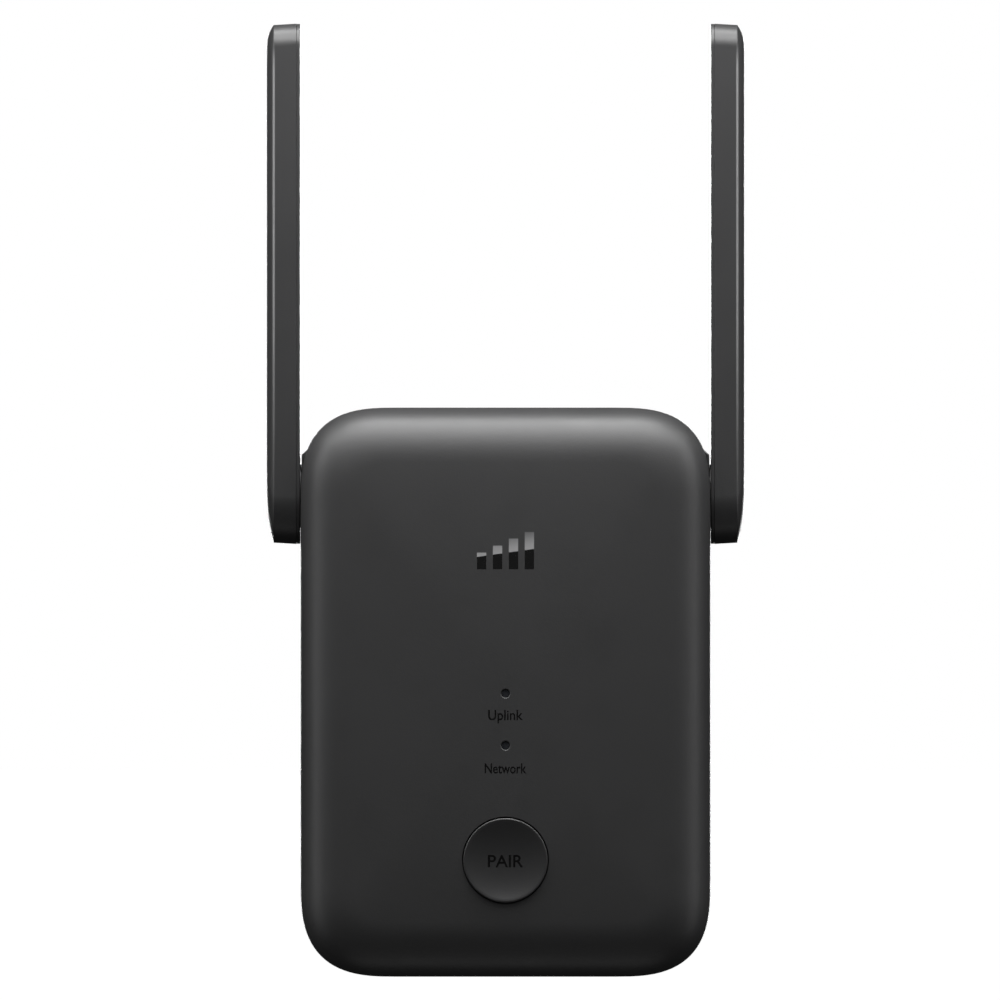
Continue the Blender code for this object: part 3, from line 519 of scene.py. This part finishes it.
def front_skin():
    rim = PARTING - PARTING_GAP
    lean = CROWN_POWER * CROWN / (WIDTH / 4 + HEIGHT / 4 - EDGE_INSET)
    skin = Skin(0, rim - 0.3)
    skin.to(*((inset, FRONT + CROWN + lean * (EDGE_INSET - inset) + drop)
              for inset, drop in front_edge(EDGE_INSET, EDGE_DEPTH, EDGE_STEPS)))
    for step in range(CROWN_STEPS, 1, -1):
        skin.shrink((step - 1) / step, FRONT + crown_drop((step - 1) / CROWN_STEPS))
    skin.cap()
    skin.other_way()
    skin.to(*list(rim_fillet(rim, -1, 0))[1:], (TONGUE_INSET, rim),
            (TONGUE_INSET, PARTING + TONGUE), (WALL, PARTING + TONGUE))
    skin.to(*((WALL + inset, FACE_BACK + drop)
              for inset, drop in front_edge(EDGE_INSET - WALL, EDGE_DEPTH - WALL, 8)))
    skin.cap()
    return skin.done()


def rear_skin():
    rim, start, draft = PARTING + PARTING_GAP, 0.3, 1.0
    ledge = TONGUE_INSET - 0.3
    skin = Skin(start, rim + 0.3)
    bends = [math.pi / 2 * step / 12 for step in range(13)]
    skin.to(*((draft + BACK_EDGE * (1 - math.cos(bend)), BACK - BACK_EDGE * (1 - math.sin(bend)))
              for bend in bends))
    skin.cap()
    skin.other_way()
    skin.to(*list(rim_fillet(rim, 1, start))[1:], (ledge, rim), (ledge, PARTING + TONGUE + 0.3),
            (start + WALL, PARTING + TONGUE + 0.3))
    inner = BACK_EDGE - 1.0
    skin.to(*((draft + WALL + inner * (1 - math.cos(bend)),
               BACK - WALL - inner * (1 - math.sin(bend))) for bend in bends[::2]))
    skin.cap()
    return skin.done()


def pad(side, side_y):
    """Half of the round seat beside a hinge, on one side of the parting plane."""
    profile = [(0, PAD_INNER), (PAD + 1.15, PAD_INNER), (PAD + 1.15, WIDTH / 2 - 1.6),
               *arc((PAD - 0.3, PAD_FACE - 0.3), 0.3, 15, 90, 4), (0, PAD_FACE)]
    whole = turned([(radius, side * along) for radius, along in profile], "X",
                   (0, HINGE_Y, HINGE_Z), 96)
    return keep_half(whole, PARTING + side_y * PARTING_GAP, side_y)


def hinge_bores():
    hole = BARREL + 0.15
    return both_sides(lambda side: turned(
        [(radius, side * along) for radius, along in ((0, 33), (hole, 33), (hole, 43), (0, 43))],
        "X", (0, HINGE_Y, HINGE_Z)))


def jack_window():
    gap = 0.3
    return block((JACK_LOW.x - gap, JACK_LOW.y - gap, BOTTOM - 2),
                 (JACK_HIGH.x + gap, JACK_HIGH.y + gap, BOTTOM + WALL + 1.5))


def rod(radius, start, end, axis, at, steps=32):
    return turned(((0, start), (radius, start), (radius, end), (0, end)), axis, at, steps)


def mouth(radius, depth, soft, at, steps=64):
    """The cutter of a hole through the front face, whose rim it rounds off."""
    y = at[1]
    rounding = [(radius + soft - soft * math.sin(turn), y + soft - soft * math.cos(turn))
                for turn in (math.pi / 2 * step / 4 for step in range(5))]
    return turned([(0, y - 2), (radius + soft, y - 2), *rounding, (radius, y + depth),
                   (0, y + depth)], "Y", (at[0], 0, at[2]), steps)


def front_cover(finish):
    bm = front_skin()
    rim = PARTING - PARTING_GAP
    reach = PAD + 1.4
    bm = carve(bm, both_sides(lambda side: block(
        (side * TONGUE_X - 2.0, rim - 0.3, HINGE_Z - reach),
        (side * TONGUE_X + 2.0, PARTING + TONGUE + 1, HINGE_Z + reach))))
    bm = carve(bm, both_sides(lambda side: pad(side, -1)), "UNION")
    inside = FRONT + WALL - 1
    screw_x, screw_z = CASE_SCREW
    board_x, board_z = BOARD_SCREW
    bm = carve(bm, together(
        both_sides(lambda side: rod(POST, inside, POST_END, "Y", (side * screw_x, 0, screw_z))),
        both_sides(lambda side: rod(BOARD_POST, inside, BOARD_POST_END, "Y",
                                    (side * board_x, 0, board_z))),
    ), "UNION")
    lamps = [mouth(LAMP_HOLE, WALL + 2, 0.2, (0, front_y(0, z), z), 32) for z in LAMPS]
    bm = carve(bm, together(
        mouth(BUTTON_HOLE, WALL + 2, 0.1, (0, front_y(0, BUTTON_Z), BUTTON_Z), 128),
        *lamps,
        both_sides(lambda side: rod(PILOT, -39, -26, "Y", (side * screw_x, 0, screw_z))),
        rod(RESET_HOLE, BOTTOM - 2, BOTTOM + WALL + 1, "Z", RESET_PLACE),
    ))
    bm = carve(bm, together(hinge_bores(), jack_window()))
    return piece("front_shell", bm, finish, "body", ["front_cover"])


def pedestal():
    """The round plug body, with notches for a socket's guide ribs and earth clips."""
    flare, rim, deep = PEDESTAL_FLARE, PEDESTAL_RIM, NOTCH_DEPTH
    foot = PEDESTAL + flare
    turns = [math.pi / 2 * step / 4 for step in range(1, 5)]
    bm = turned([(0, BACK - 1), (foot, BACK - 1), (foot, BACK),
                 *((foot - flare * math.sin(turn), BACK + flare - flare * math.cos(turn))
                   for turn in turns),
                 *arc((PEDESTAL - rim, -rim), rim, 0, 90, 8), (0, 0)], "Y", steps=160)
    sides = [block((side * RIB_NOTCH - deep, BACK, -RIB_HALF),
                   (side * RIB_NOTCH + deep, 2, RIB_HALF)) for side in (1, -1)]
    ends = [block((-EARTH_HALF, BACK, side * EARTH_NOTCH - deep),
                  (EARTH_HALF, 2, side * EARTH_NOTCH + deep)) for side in (1, -1)]
    return carve(bm, together(*sides, *ends))


def rear_cover(finish):
    gap = LABEL_GAP
    bm = carve(rear_skin(), block((LABEL_LOW.x - gap, BACK - gap, LABEL_LOW.z - gap),
                                  (LABEL_HIGH.x + gap, BACK + 1, LABEL_HIGH.z + gap)))
    bm = carve(bm, pedestal(), "UNION")
    bm = carve(bm, both_sides(lambda side: pad(side, 1)), "UNION")
    screw_x, screw_z = CASE_SCREW
    power_x, power_z = POWER_SCREW
    inside = BACK - WALL + 1
    bm = carve(bm, together(
        both_sides(lambda side: rod(REAR_POST, REAR_POST_END, inside, "Y",
                                    (side * screw_x, 0, screw_z))),
        both_sides(lambda side: rod(BOARD_POST, POWER_POST_END, inside, "Y",
                                    (side * power_x, 0, power_z))),
    ), "UNION")
    bm = carve(bm, rod(PEDESTAL_HOLLOW, BACK - 5, -PEDESTAL_FACE, "Y", (0, 0, 0), 64))
    well = ((0, -13), (2.8, -13), (2.8, -25.2), (1.45, -25.2), (1.45, -28.5), (0, -28.5))
    bm = carve(bm, together(
        both_sides(lambda side: turned(well, "Y", (side * screw_x, 0, screw_z), 32)),
        *(rod(PIN + 0.3, -6, 2, "Y", (side * PIN_X, 0, 0)) for side in (1, -1)),
    ))
    top = [slot_bar(SLOT_PITCH * step, TOP) for step in range(-4, 5)]
    foot = [slot_bar(side * (11.6 + 3.4 * step), BOTTOM) for side in (1, -1)
            for step in range(3)]
    bm = carve(bm, together(*top, *foot))
    bm = carve(bm, together(hinge_bores(), jack_window()))
    return piece("rear_shell", bm, finish, "body", ["rear_cover"])


# Button, lamps, plug


def button_y(x, z):
    """The depth of the button's dished face at a place."""
    share = math.hypot(x, z - BUTTON_Z) / DISH_EDGE
    return FRONT + 0.02 + DISH * (1 - share ** DISH_POWER)


def button(finish):
    """The dished cap with its rounded rim, its flange behind the face, and its stem."""
    face = FRONT + 0.02
    dish = [(DISH_EDGE * step / 16, button_y(DISH_EDGE * step / 16, BUTTON_Z))
            for step in range(17)]
    back = BUTTON_HIGH.y
    turns = [math.pi / 2 * step / 6 for step in range(7)]
    profile = [*dish, *((BUTTON - BUTTON_RIM * (1 - math.sin(turn)),
                         face + BUTTON_RIM * (1 - math.cos(turn))) for turn in turns),
               (BUTTON, FLANGE_FRONT), (BUTTON_FLANGE, FLANGE_FRONT),
               (BUTTON_FLANGE, FLANGE_BACK), (STEM_ROOT, FLANGE_BACK), (STEM, back), (0, back)]
    bm = turned(profile, "Y", (0, 0, BUTTON_Z), 128)
    return piece("button_cap", bm, finish, "pair_button", ["pair_button"])


def plug_parts(pin_finish, sleeve_finish):
    for word, side in (("left", -1), ("right", 1)):
        at = (side * PIN_X, 0, 0)
        sleeve_end, tip = SLEEVE_HIGH.y, PIN_HIGH.y
        pin = [(0, PIN_LOW.y), (PIN_ROOT, PIN_LOW.y), (PIN_ROOT, COLLAR_FRONT),
               (COLLAR, COLLAR_FRONT), (COLLAR, COLLAR_BACK), (PIN_CORE, COLLAR_BACK),
               (PIN_CORE, sleeve_end + 0.1), (PIN - 0.15, sleeve_end + 0.1),
               (PIN, sleeve_end + 0.25), (PIN, tip - PIN_NOSE),
               *arc((PIN - PIN_NOSE, tip - PIN_NOSE), PIN_NOSE, 0, 90, 10), (0, tip)]
        piece(f"pin_{word}", turned(pin, "Y", at), pin_finish, "body",
              [f"plug_pin_{word}"])
        low = SLEEVE_LOW.y
        wall = [(PIN_CORE + 0.1, low), (PIN, low), (PIN, sleeve_end - 0.2),
                (PIN - 0.2, sleeve_end), (PIN_CORE + 0.1, sleeve_end), (PIN_CORE + 0.1, low)]
        piece(f"sleeve_{word}", turned(wall, "Y", at), sleeve_finish, "body",
              [f"pin_sleeve_{word}"])


# Antennas


class Blade:
    """An antenna's skin, seen from the side as a long bar with one round end, grown along X."""

    def __init__(self, x, inset):
        self.bm = bmesh.new()
        self.low, self.high, self.half = -BLADE_HALF, BLADE_TOP, BLADE_HALF
        corner = BLADE_CORNER
        arcs = ((0, 0, BLADE_HALF, 180, 360, 36),
                (BLADE_HALF - corner, BLADE_TOP - corner, corner, 0, 90, 14),
                (corner - BLADE_HALF, BLADE_TOP - corner, corner, 90, 180, 14))
        points = [Vector((x, HINGE_Y + y, HINGE_Z + z))
                  for middle_y, middle_z, radius, *turns in arcs
                  for y, z in arc((middle_y, middle_z), radius, *turns)]
        self.first = self.ring = closed_ring(self.bm, points)
        for point in self.bm.verts:
            point.co = self.moved(point.co, x, inset, inset, inset)
        self.note(inset, inset, inset)
        self.first_note = (self.low, self.high, self.half)

    def note(self, side, top, foot):
        self.low, self.high, self.half = foot - BLADE_HALF, BLADE_TOP - top, BLADE_HALF - side

    def moved(self, point, x, side, top, foot):
        """A point of the ring, as it is at another x and with other insets."""
        across = (BLADE_HALF - side) / self.half
        along = (BLADE_TOP - top + BLADE_HALF - foot) / (self.high - self.low)
        rise = point.z - HINGE_Z - self.low
        return Vector((x, HINGE_Y + (point.y - HINGE_Y) * across,
                       HINGE_Z + foot - BLADE_HALF + rise * along))

    def to(self, x, side, top=None, foot=None):
        top = side if top is None else top
        foot = side if foot is None else foot
        self.ring = grow(self.bm, self.ring, lambda point: self.moved(point, x, side, top, foot))
        self.note(side, top, foot)

    def cap(self):
        bmesh.ops.contextual_create(self.bm, geom=self.ring)

    def other_way(self):
        self.ring = self.first
        self.low, self.high, self.half = self.first_note

    def done(self, side):
        if side < 0:
            bmesh.ops.scale(self.bm, vec=(-1, 1, 1), verts=self.bm.verts)
        bmesh.ops.recalc_face_normals(self.bm, faces=self.bm.faces)
        return self.bm


def blade_shell(side):
    """The outer half: a drafted wall, a fine ridge, and a wide bevel up to the flat outside."""
    shoulder, edge, skin = BLADE_OUTER - BEVEL_RISE, LID_EDGE + JOIN_GAP, BLADE_WALL
    blade = Blade(edge + JOIN_CHAMFER, 0.0)
    for step in range(7):
        turn = math.pi / 4 * step / 6
        blade.to(shoulder - RIDGE * (1 - math.sin(turn) * math.sqrt(2)) * 0.7,
                 BLADE_DRAFT + RIDGE * (1 - math.cos(turn)))
    start = BLADE_DRAFT + RIDGE * (1 - math.cos(math.pi / 4))
    for step in range(1, 15):
        share = step / 14
        blade.to(shoulder + BEVEL_RISE * (1 - (1 - share) ** 2), start + BEVEL_SIDE * share,
                 start + BEVEL_TOP * share, start + BEVEL_FOOT * share)
    blade.cap()
    blade.other_way()
    blade.to(edge, JOIN_CHAMFER)
    blade.to(edge, REBATE)
    blade.to(edge + 1.1, REBATE)
    blade.to(edge + 1.1, skin)
    blade.to(shoulder - 1.0, skin + BLADE_DRAFT)
    blade.to(shoulder - 0.1, skin + 1.4, skin + 1.6, skin + 4.0)
    blade.cap()
    return blade.done(side)


def blade_base(side):
    """The inner half, with the disc, the hollow barrel and its flange, which turn together."""
    lid = Blade(LID_EDGE, LID_INSET)
    for step in range(5):
        turn = math.pi / 2 * step / 4
        lid.to(BLADE_INNER + LID_ROUND * (1 - math.sin(turn)),
               LID_INSET + LID_ROUND * (1 - math.cos(turn)))
    lid.cap()
    lid.other_way()
    lid.to(LID_EDGE, TONGUE_STEP)
    lid.to(LID_EDGE + 1.0, TONGUE_STEP)
    lid.cap()
    hub = (0, HINGE_Y, HINGE_Z)
    profile = [(0, BARREL_END), (BARREL - 0.3, BARREL_END), (BARREL, BARREL_END + 0.3),
               (BARREL, FLANGE[0]), (FLANGE_RADIUS, FLANGE[0]), (FLANGE_RADIUS, FLANGE[1]),
               (BARREL, FLANGE[1]), (BARREL, DISC_FACE), (DISC, DISC_FACE),
               (DISC, LID_EDGE - 0.2), (0, LID_EDGE - 0.2)]
    barrel = turned([(radius, side * along) for radius, along in profile], "X", hub, 72)
    bm = carve(lid.done(side), barrel, "UNION")
    low, high = sorted((side * (FLANGE[0] + 0.05), side * (FLANGE[1] - 0.05)))
    lug_start, lug_end, lug_half = LUG
    lug = block((low, HINGE_Y + lug_start, HINGE_Z - lug_half),
                (high, HINGE_Y + lug_end, HINGE_Z + lug_half))
    bm = carve(bm, lug, "UNION")
    bore = turned([(radius, side * along) for radius, along in
                   ((0, 33), (BARREL_BORE, 33), (BARREL_BORE, 44), (0, 44))], "X", hub, 40)
    return carve(bm, bore)


def antennas(finish):
    for word, side in (("left", -1), ("right", 1)):
        body = f"antenna_{word}"
        piece(f"blade_outer_{word}", blade_shell(side), finish, body,
              [f"antenna_{word}_shell"], sharp=40)
        piece(f"blade_inner_{word}", blade_base(side), finish, body,
              [f"antenna_{word}_base"], sharp=40)


# Printed marks


def lettering(name, words, cap_height, width, middle, depth_at, finish, body):
    """Words printed on a front surface, as a film whose face follows depth_at(x, z)."""
    curve = bpy.data.curves.new(name, "FONT")
    curve.body = words
    curve.align_x = "CENTER"
    curve.align_y = "CENTER"
    curve.size = cap_height / 0.7
    curve.extrude = 0.03
    curve.offset = 0.03
    letters = link(name, curve)
    flat = bpy.data.meshes.new_from_object(
        letters.evaluated_get(bpy.context.evaluated_depsgraph_get()))
    bm = bmesh.new()
    bm.from_mesh(flat)
    bpy.data.objects.remove(letters)
    bpy.data.meshes.remove(flat)
    bmesh.ops.remove_doubles(bm, verts=bm.verts, dist=1e-4)
    lows = [min(vert.co[axis] for vert in bm.verts) for axis in (0, 1)]
    highs = [max(vert.co[axis] for vert in bm.verts) for axis in (0, 1)]
    stretch = width / (highs[0] - lows[0])
    bmesh.ops.translate(bm, vec=(-(lows[0] + highs[0]) / 2, 0, 0), verts=bm.verts)
    bmesh.ops.scale(bm, vec=(stretch, 1, 1), verts=bm.verts)
    print_on(bm, middle, depth_at)
    return piece(name, bm, finish, body, sharp=20)


def print_on(bm, middle, depth_at):
    """Stands a flat print, made in the XY plane, just proud of a front surface."""
    stand = Matrix.Translation(middle) @ Matrix.Rotation(math.pi / 2, 4, "X")
    bmesh.ops.transform(bm, matrix=stand, verts=bm.verts)
    for vert in bm.verts:
        proud = vert.co.y < middle[1]
        vert.co.y = depth_at(vert.co.x, vert.co.z) + (-PRINT_PROUD if proud else PRINT_ROOT)
    bmesh.ops.recalc_face_normals(bm, faces=bm.faces)


def signal_mark(finish):
    """A plain signal mark: four printed bars, each one taller than the last."""
    half = MARK_HEIGHT / 2
    bars = []
    for step, height in enumerate(MARK_BARS):
        x = MARK_PITCH * (step - 1.5)
        bars.append(block((x - MARK_BAR / 2, -half, -0.03),
                          (x + MARK_BAR / 2, height - half, 0.03)))
    bm = together(*bars)
    print_on(bm, (0, 0, MARK_Z), front_y)
    return piece("signal_mark", bm, finish, "body", sharp=20)


# Finishes

# Painted highlight: the pale grey laid along the blades' ridge in place of the light it catches.
RIDGE_HIGHLIGHT = (0.17, 0.17, 0.172)


def moulded(name, colour, roughness, grain=0.30, depth=0.022, spread=0.10, ridge=None):
    """Spark-textured moulded plastic: a fine even grain, with faint handling marks.

    A ridge (its distance from the middle, and the heights where its painted highlight begins and is
    complete) gets a painted highlight: a paler band that stands in for the light the ridge catches.
    """
    finish = Finish(name, colour, roughness, specular_ior_level=0.5)
    place = finish.place()
    fine = finish.noise(grain, place, 3.0, 0.6)
    flow = finish.noise(26, place, 3.0, 0.55)
    smears = finish.noise(9, place, 4.0, 0.6).between(0.5, 0.72)
    relief = fine * 0.6 + finish.noise(grain * 3, place) * 0.4
    dark = [channel * (1 - spread) for channel in colour]
    light = [channel * (1 + spread) for channel in colour]
    tone = finish.tint(dark, light, flow * 0.6 + fine * 0.4)
    # Painted highlight along the ridge, paler towards the top where the light from above falls on
    # it.
    if ridge:
        across, _, up = finish.axes(place)
        away = across.size() - ridge[0]
        ridge_highlight = away.between(-0.4, -0.2) * (1 - away.between(0.05, 0.2))
        ridge_highlight = ridge_highlight * up.between(ridge[1], ridge[2]) * (0.75 + fine * 0.5)
        ridge_highlight = ridge_highlight * (1 - up.between(ridge[2] + 42, ridge[2] + 48))
        tone = finish.tint(tone, RIDGE_HIGHLIGHT, ridge_highlight)
    finish.set("Base Color", tone)
    finish.set("Roughness", roughness + (fine - 0.5) * 0.10 + (flow - 0.5) * 0.05 - smears * 0.03)
    finish.bump(relief, depth)
    return finish.material


def ink(name, colour, roughness):
    """Pad-printed ink: glossy, with the faint unevenness of its film."""
    finish = Finish(name, colour, roughness)
    film = finish.noise(0.6, finish.place(), 2.0)
    finish.set("Roughness", roughness + (film - 0.5) * 0.12)
    finish.bump(film, 0.003)
    return finish.material


def two_tone_ink():
    """The mark's ink: grey above a slanting line and black below it, under one gloss."""
    finish = Finish("mark_ink", (0.02, 0.02, 0.02), 0.2)
    place = finish.place((0, 0, MARK_Z))
    across, _, up = finish.axes(place)
    above = up - across * MARK_SLANT + MARK_SPLIT
    upper = above.between(-0.05, 0.05)
    fade = above.between(0.0, MARK_FADE)
    grey = finish.tint((0.26, 0.26, 0.262), (0.09, 0.09, 0.092), fade)
    finish.set("Base Color", finish.tint((0.006, 0.006, 0.006), grey, upper))
    film = finish.noise(0.8, place, 2.0)
    finish.set("Roughness", 0.22 + film * 0.08)
    return finish.material


def metal(name, colour, roughness, along="Y", depth=0.004):
    """Drawn or turned metal: fine lines along one axis, and faint tarnish."""
    finish = Finish(name, colour, roughness, 1.0)
    place = finish.place()
    stretch = {"X": (0.04, 1, 1), "Y": (1, 0.04, 1), "Z": (1, 1, 0.04)}[along]
    drawn = finish.node("Mapping", {"vector_type": "POINT"}, place, Scale=stretch)
    lines = finish.noise(0.12, drawn, 2.0)
    tarnish = finish.noise(3.0, place, 4.0)
    dull = [channel * 0.82 for channel in colour]
    finish.set("Base Color", finish.tint(dull, colour, tarnish.between(0.3, 0.6)))
    finish.set("Roughness", roughness + (lines - 0.5) * 0.16 + (tarnish - 0.5) * 0.1)
    finish.bump(lines, depth)
    return finish.material


def board_mask(name):
    """Green solder mask over copper tracks, with the glass weave faintly below."""
    finish = Finish(name, (0.012, 0.10, 0.04), 0.32)
    place = finish.place()
    across, _, up = finish.axes(place)
    cells = finish.node("TexVoronoi", {"feature": "F1", "distance": "MANHATTAN"}, output="Distance",
                        Vector=place, Scale=1 / (3.2 * MM))
    tracks = (cells * 9).fraction().between(0.55, 0.65)
    weave = (across * 9).sine() * (up * 9).sine()
    bare = finish.tint((0.010, 0.085, 0.034), (0.018, 0.15, 0.06), tracks)
    finish.set("Base Color", bare)
    finish.set("Roughness", 0.34 + weave * 0.04 - tracks * 0.05)
    finish.bump(tracks * 0.7 + weave * 0.15, 0.03)
    return finish.material


def moulded_epoxy(name):
    finish = Finish(name, (0.022, 0.022, 0.023), 0.5)
    place = finish.place()
    speck = finish.noise(0.18, place, 3.0)
    finish.set("Base Color", finish.tint((0.016, 0.016, 0.017), (0.032, 0.032, 0.033), speck))
    finish.set("Roughness", 0.46 + speck * 0.14)
    finish.bump(speck, 0.01)
    return finish.material


def speckled(name, low, high, size, roughness):
    """A sintered or filled material: two tones in fine speckles."""
    finish = Finish(name, low, roughness)
    speck = finish.noise(size, finish.place(), 4.0, 0.7)
    finish.set("Base Color", finish.tint(low, high, speck.between(0.35, 0.7)))
    finish.set("Roughness", roughness + (speck - 0.5) * 0.15)
    finish.bump(speck, size * 0.06)
    return finish.material


def wound_tape(name, centre):
    """Polyester tape in overlapping turns, with the edge of each turn showing."""
    finish = Finish(name, (0.75, 0.5, 0.06), 0.28, coat_weight=0.3)
    place = finish.place(centre)
    _, depth, _ = finish.axes(place)
    turns = (depth * 0.9).fraction()
    edge = turns.between(0.0, 0.12)
    finish.set("Base Color", finish.tint((0.42, 0.24, 0.02), (0.78, 0.53, 0.07), edge))
    finish.set("Roughness", 0.34 - edge * 0.08)
    finish.bump(edge, 0.05)
    return finish.material


def sleeve_film(name, colour, roughness):
    finish = Finish(name, colour, roughness)
    place = finish.place()
    shrink = finish.noise(2.2, place, 3.0)
    low = [channel * 0.8 for channel in colour]
    finish.set("Base Color", finish.tint(low, colour, shrink))
    finish.set("Roughness", roughness + (shrink - 0.5) * 0.12)
    finish.bump(shrink, 0.03)
    return finish.material


def smoked(name):
    """Dark translucent acrylic, as the unlit lamp windows look."""
    finish = Finish(name, (0.012, 0.013, 0.015), 0.16)
    haze = finish.noise(0.9, finish.place(), 2.0)
    finish.set("Base Color", finish.tint((0.010, 0.011, 0.013), (0.03, 0.032, 0.036), haze))
    finish.set("Roughness", 0.14 + haze * 0.08)
    return finish.material


def label_film():
    """A plain rating label: a fine frame and ruled rows, with nothing written in them."""
    finish = Finish("label_film", (0.05, 0.05, 0.052), 0.42)
    middle = (LABEL_LOW + LABEL_HIGH) / 2
    place = finish.place(middle)
    across, _, up = finish.axes(place)
    half_x = (LABEL_HIGH.x - LABEL_LOW.x) / 2 - 1.4
    half_z = (LABEL_HIGH.z - LABEL_LOW.z) / 2 - 1.4
    side = across.size()
    end = up.size()
    inside = (half_x - side).between(-0.02, 0.04) * (half_z - end).between(-0.02, 0.04)
    core = (half_x - 0.22 - side).between(-0.02, 0.04) * (half_z - 0.22 - end).between(-0.02, 0.04)
    rows = (up / 4.2).fraction()
    rule = rows.between(0.93, 0.955) * core
    lines = (inside - core).at_least(rule)
    film = finish.noise(0.5, place, 2.0)
    finish.set("Base Color", finish.tint((0.048, 0.048, 0.05), (0.28, 0.28, 0.28), lines))
    finish.set("Roughness", 0.40 + film * 0.12)
    finish.bump(film, 0.006)
    return finish.material


# Putting it together


def finish_inside(shown):
    """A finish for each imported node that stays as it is, by the record's material slots."""
    winding_low, winding_high = corners("transformer_winding")
    finishes = {
        "shell_black": SHELL,
        "dark_plastic": moulded("black_moulding", (0.016, 0.016, 0.017), 0.5, 0.4),
        "label_grey": label_film(),
        "screw_steel": metal("zinc_steel", (0.5, 0.5, 0.52), 0.3),
        "sheet_aluminium": metal("plain_aluminium", (0.72, 0.73, 0.74), 0.34, "Z"),
        "contact_gold": metal("gold_plate", (0.83, 0.6, 0.24), 0.24, "Z"),
        "board_green": board_mask("board_green"),
        "chip_black": moulded_epoxy("chip_epoxy"),
        "white_plastic": moulded("natural_nylon", (0.62, 0.61, 0.57), 0.45, 0.5, 0.01, 0.04),
        "clear_plastic": smoked("lamp_window"),
        "ferrite_grey": speckled("ferrite", (0.035, 0.035, 0.038), (0.075, 0.075, 0.08), 0.25, 0.6),
        "tape_yellow": wound_tape("winding_tape", (winding_low + winding_high) / 2),
        "capacitor_sleeve": sleeve_film("capacitor_sleeve", (0.015, 0.025, 0.08), 0.3),
        "capacitor_blue": sleeve_film("dipped_resin", (0.02, 0.12, 0.42), 0.32),
        "silicone_grey": speckled("silicone", (0.26, 0.26, 0.27), (0.36, 0.36, 0.37), 0.4, 0.7),
        "wire_brown": sleeve_film("brown_insulation", (0.15, 0.055, 0.02), 0.42),
        "wire_blue": sleeve_film("blue_insulation", (0.015, 0.07, 0.38), 0.42),
        "coax_grey": sleeve_film("coax_jacket", (0.2, 0.2, 0.21), 0.4),
    }
    slots = {part["node"]: part["material_slot"] for part in frame["record"]["subparts"]}
    for name, node in shown.items():
        if not node.hide_render:
            for entry in node.material_slots:
                entry.material = finishes[slots[name]]


def area_light(name, place, aim, size, power):
    """A soft rectangular light, in metres and watts, that faces a point."""
    data = bpy.data.lights.new(name, "AREA")
    data.shape = "RECTANGLE"
    data.size, data.size_y = size
    data.energy = power
    lamp = link(name, data)
    lamp.location = place
    lamp.rotation_euler = (Vector(aim) - Vector(place)).to_track_quat("-Z", "Y").to_euler()


def studio():
    """A pale floor, pale surroundings and soft light, mostly from straight above."""
    world = bpy.data.worlds.new("studio")
    bpy.context.scene.world = world
    world.use_nodes = True
    nodes, links = world.node_tree.nodes, world.node_tree.links
    seen, lit = nodes["Background"], nodes.new("ShaderNodeBackground")
    seen.inputs["Color"].default_value = (1, 1, 1, 1)
    seen.inputs["Strength"].default_value = 1.0
    lit.inputs["Color"].default_value = (1, 1, 1, 1)
    lit.inputs["Strength"].default_value = SURROUND
    rays, choice = nodes.new("ShaderNodeLightPath"), nodes.new("ShaderNodeMixShader")
    links.new(rays.outputs["Is Camera Ray"], choice.inputs[0])
    links.new(lit.outputs[0], choice.inputs[1])
    links.new(seen.outputs[0], choice.inputs[2])
    links.new(choice.outputs[0], nodes["World Output"].inputs["Surface"])
    floor_data = bpy.data.meshes.new("floor")
    bm = bmesh.new()
    bmesh.ops.create_circle(bm, segments=96, radius=FLOOR_RADIUS, cap_ends=True)
    bmesh.ops.translate(bm, vec=(0, 0, (BOTTOM - FLOOR_DROP) * MM), verts=bm.verts)
    bm.to_mesh(floor_data)
    bm.free()
    paint = Finish("pale_floor", (0.9, 0.9, 0.9), 0.7)
    paint.set("Emission Color", (1, 1, 1, 1))
    paint.set("Emission Strength", 1.0)
    floor_data.materials.append(paint.material)
    floor = link("floor", floor_data)
    floor.visible_diffuse = False
    floor.visible_glossy = False
    floor.visible_shadow = False
    for name, place, size, power in LIGHTS:
        area_light(name, place, LIGHT_AIM, size, power)


def camera():
    """A level telephoto view of the front, a little above the housing's middle."""
    data = bpy.data.cameras.new("camera")
    data.sensor_width = 36
    data.lens = data.sensor_width * VIEW_DISTANCE / VIEW_WIDTH
    view = link("camera", data)
    view.location = (VIEW_X * MM, HINGE_Y * MM - VIEW_DISTANCE, VIEW_Z * MM)
    view.rotation_euler = (math.pi / 2, 0, 0)
    bpy.context.scene.camera = view


SHELL = moulded("black_textured_shell", (0.028, 0.028, 0.0285), 0.47)
# The blades' ridge carries a painted highlight, placed by the ridge argument.
BLADES = moulded("black_textured_blade", (0.028, 0.028, 0.0285), 0.42,
                 ridge=(BLADE_OUTER - BEVEL_RISE, 25, 75))
CAP = moulded("black_satin_cap", (0.025, 0.025, 0.0255), 0.37, 0.3, 0.012)
PRINT = ink("black_print", (0.004, 0.004, 0.004), 0.22)

front_cover(SHELL)
rear_cover(SHELL)
button(CAP)
plug_parts(metal("nickel_plate", (0.66, 0.64, 0.6), 0.2),
           moulded("sleeve_plastic", (0.02, 0.02, 0.02), 0.4))
antennas(BLADES)
signal_mark(two_tone_ink())
lettering("word_uplink", "Uplink", 2.0, 6.9, (0, 0, LAMPS[0] - 4.4), front_y, PRINT, "body")
lettering("word_network", "Network", 2.0, 8.3, (0, 0, LAMPS[1] - 4.65), front_y, PRINT, "body")
lettering("word_pair", "PAIR", 2.45, 7.0, (0, 0, BUTTON_Z - 0.3), button_y, PRINT, "pair_button")
finish_inside(frame["nodes"])
studio()
camera()
bpy.context.scene.view_settings.view_transform = "Standard"
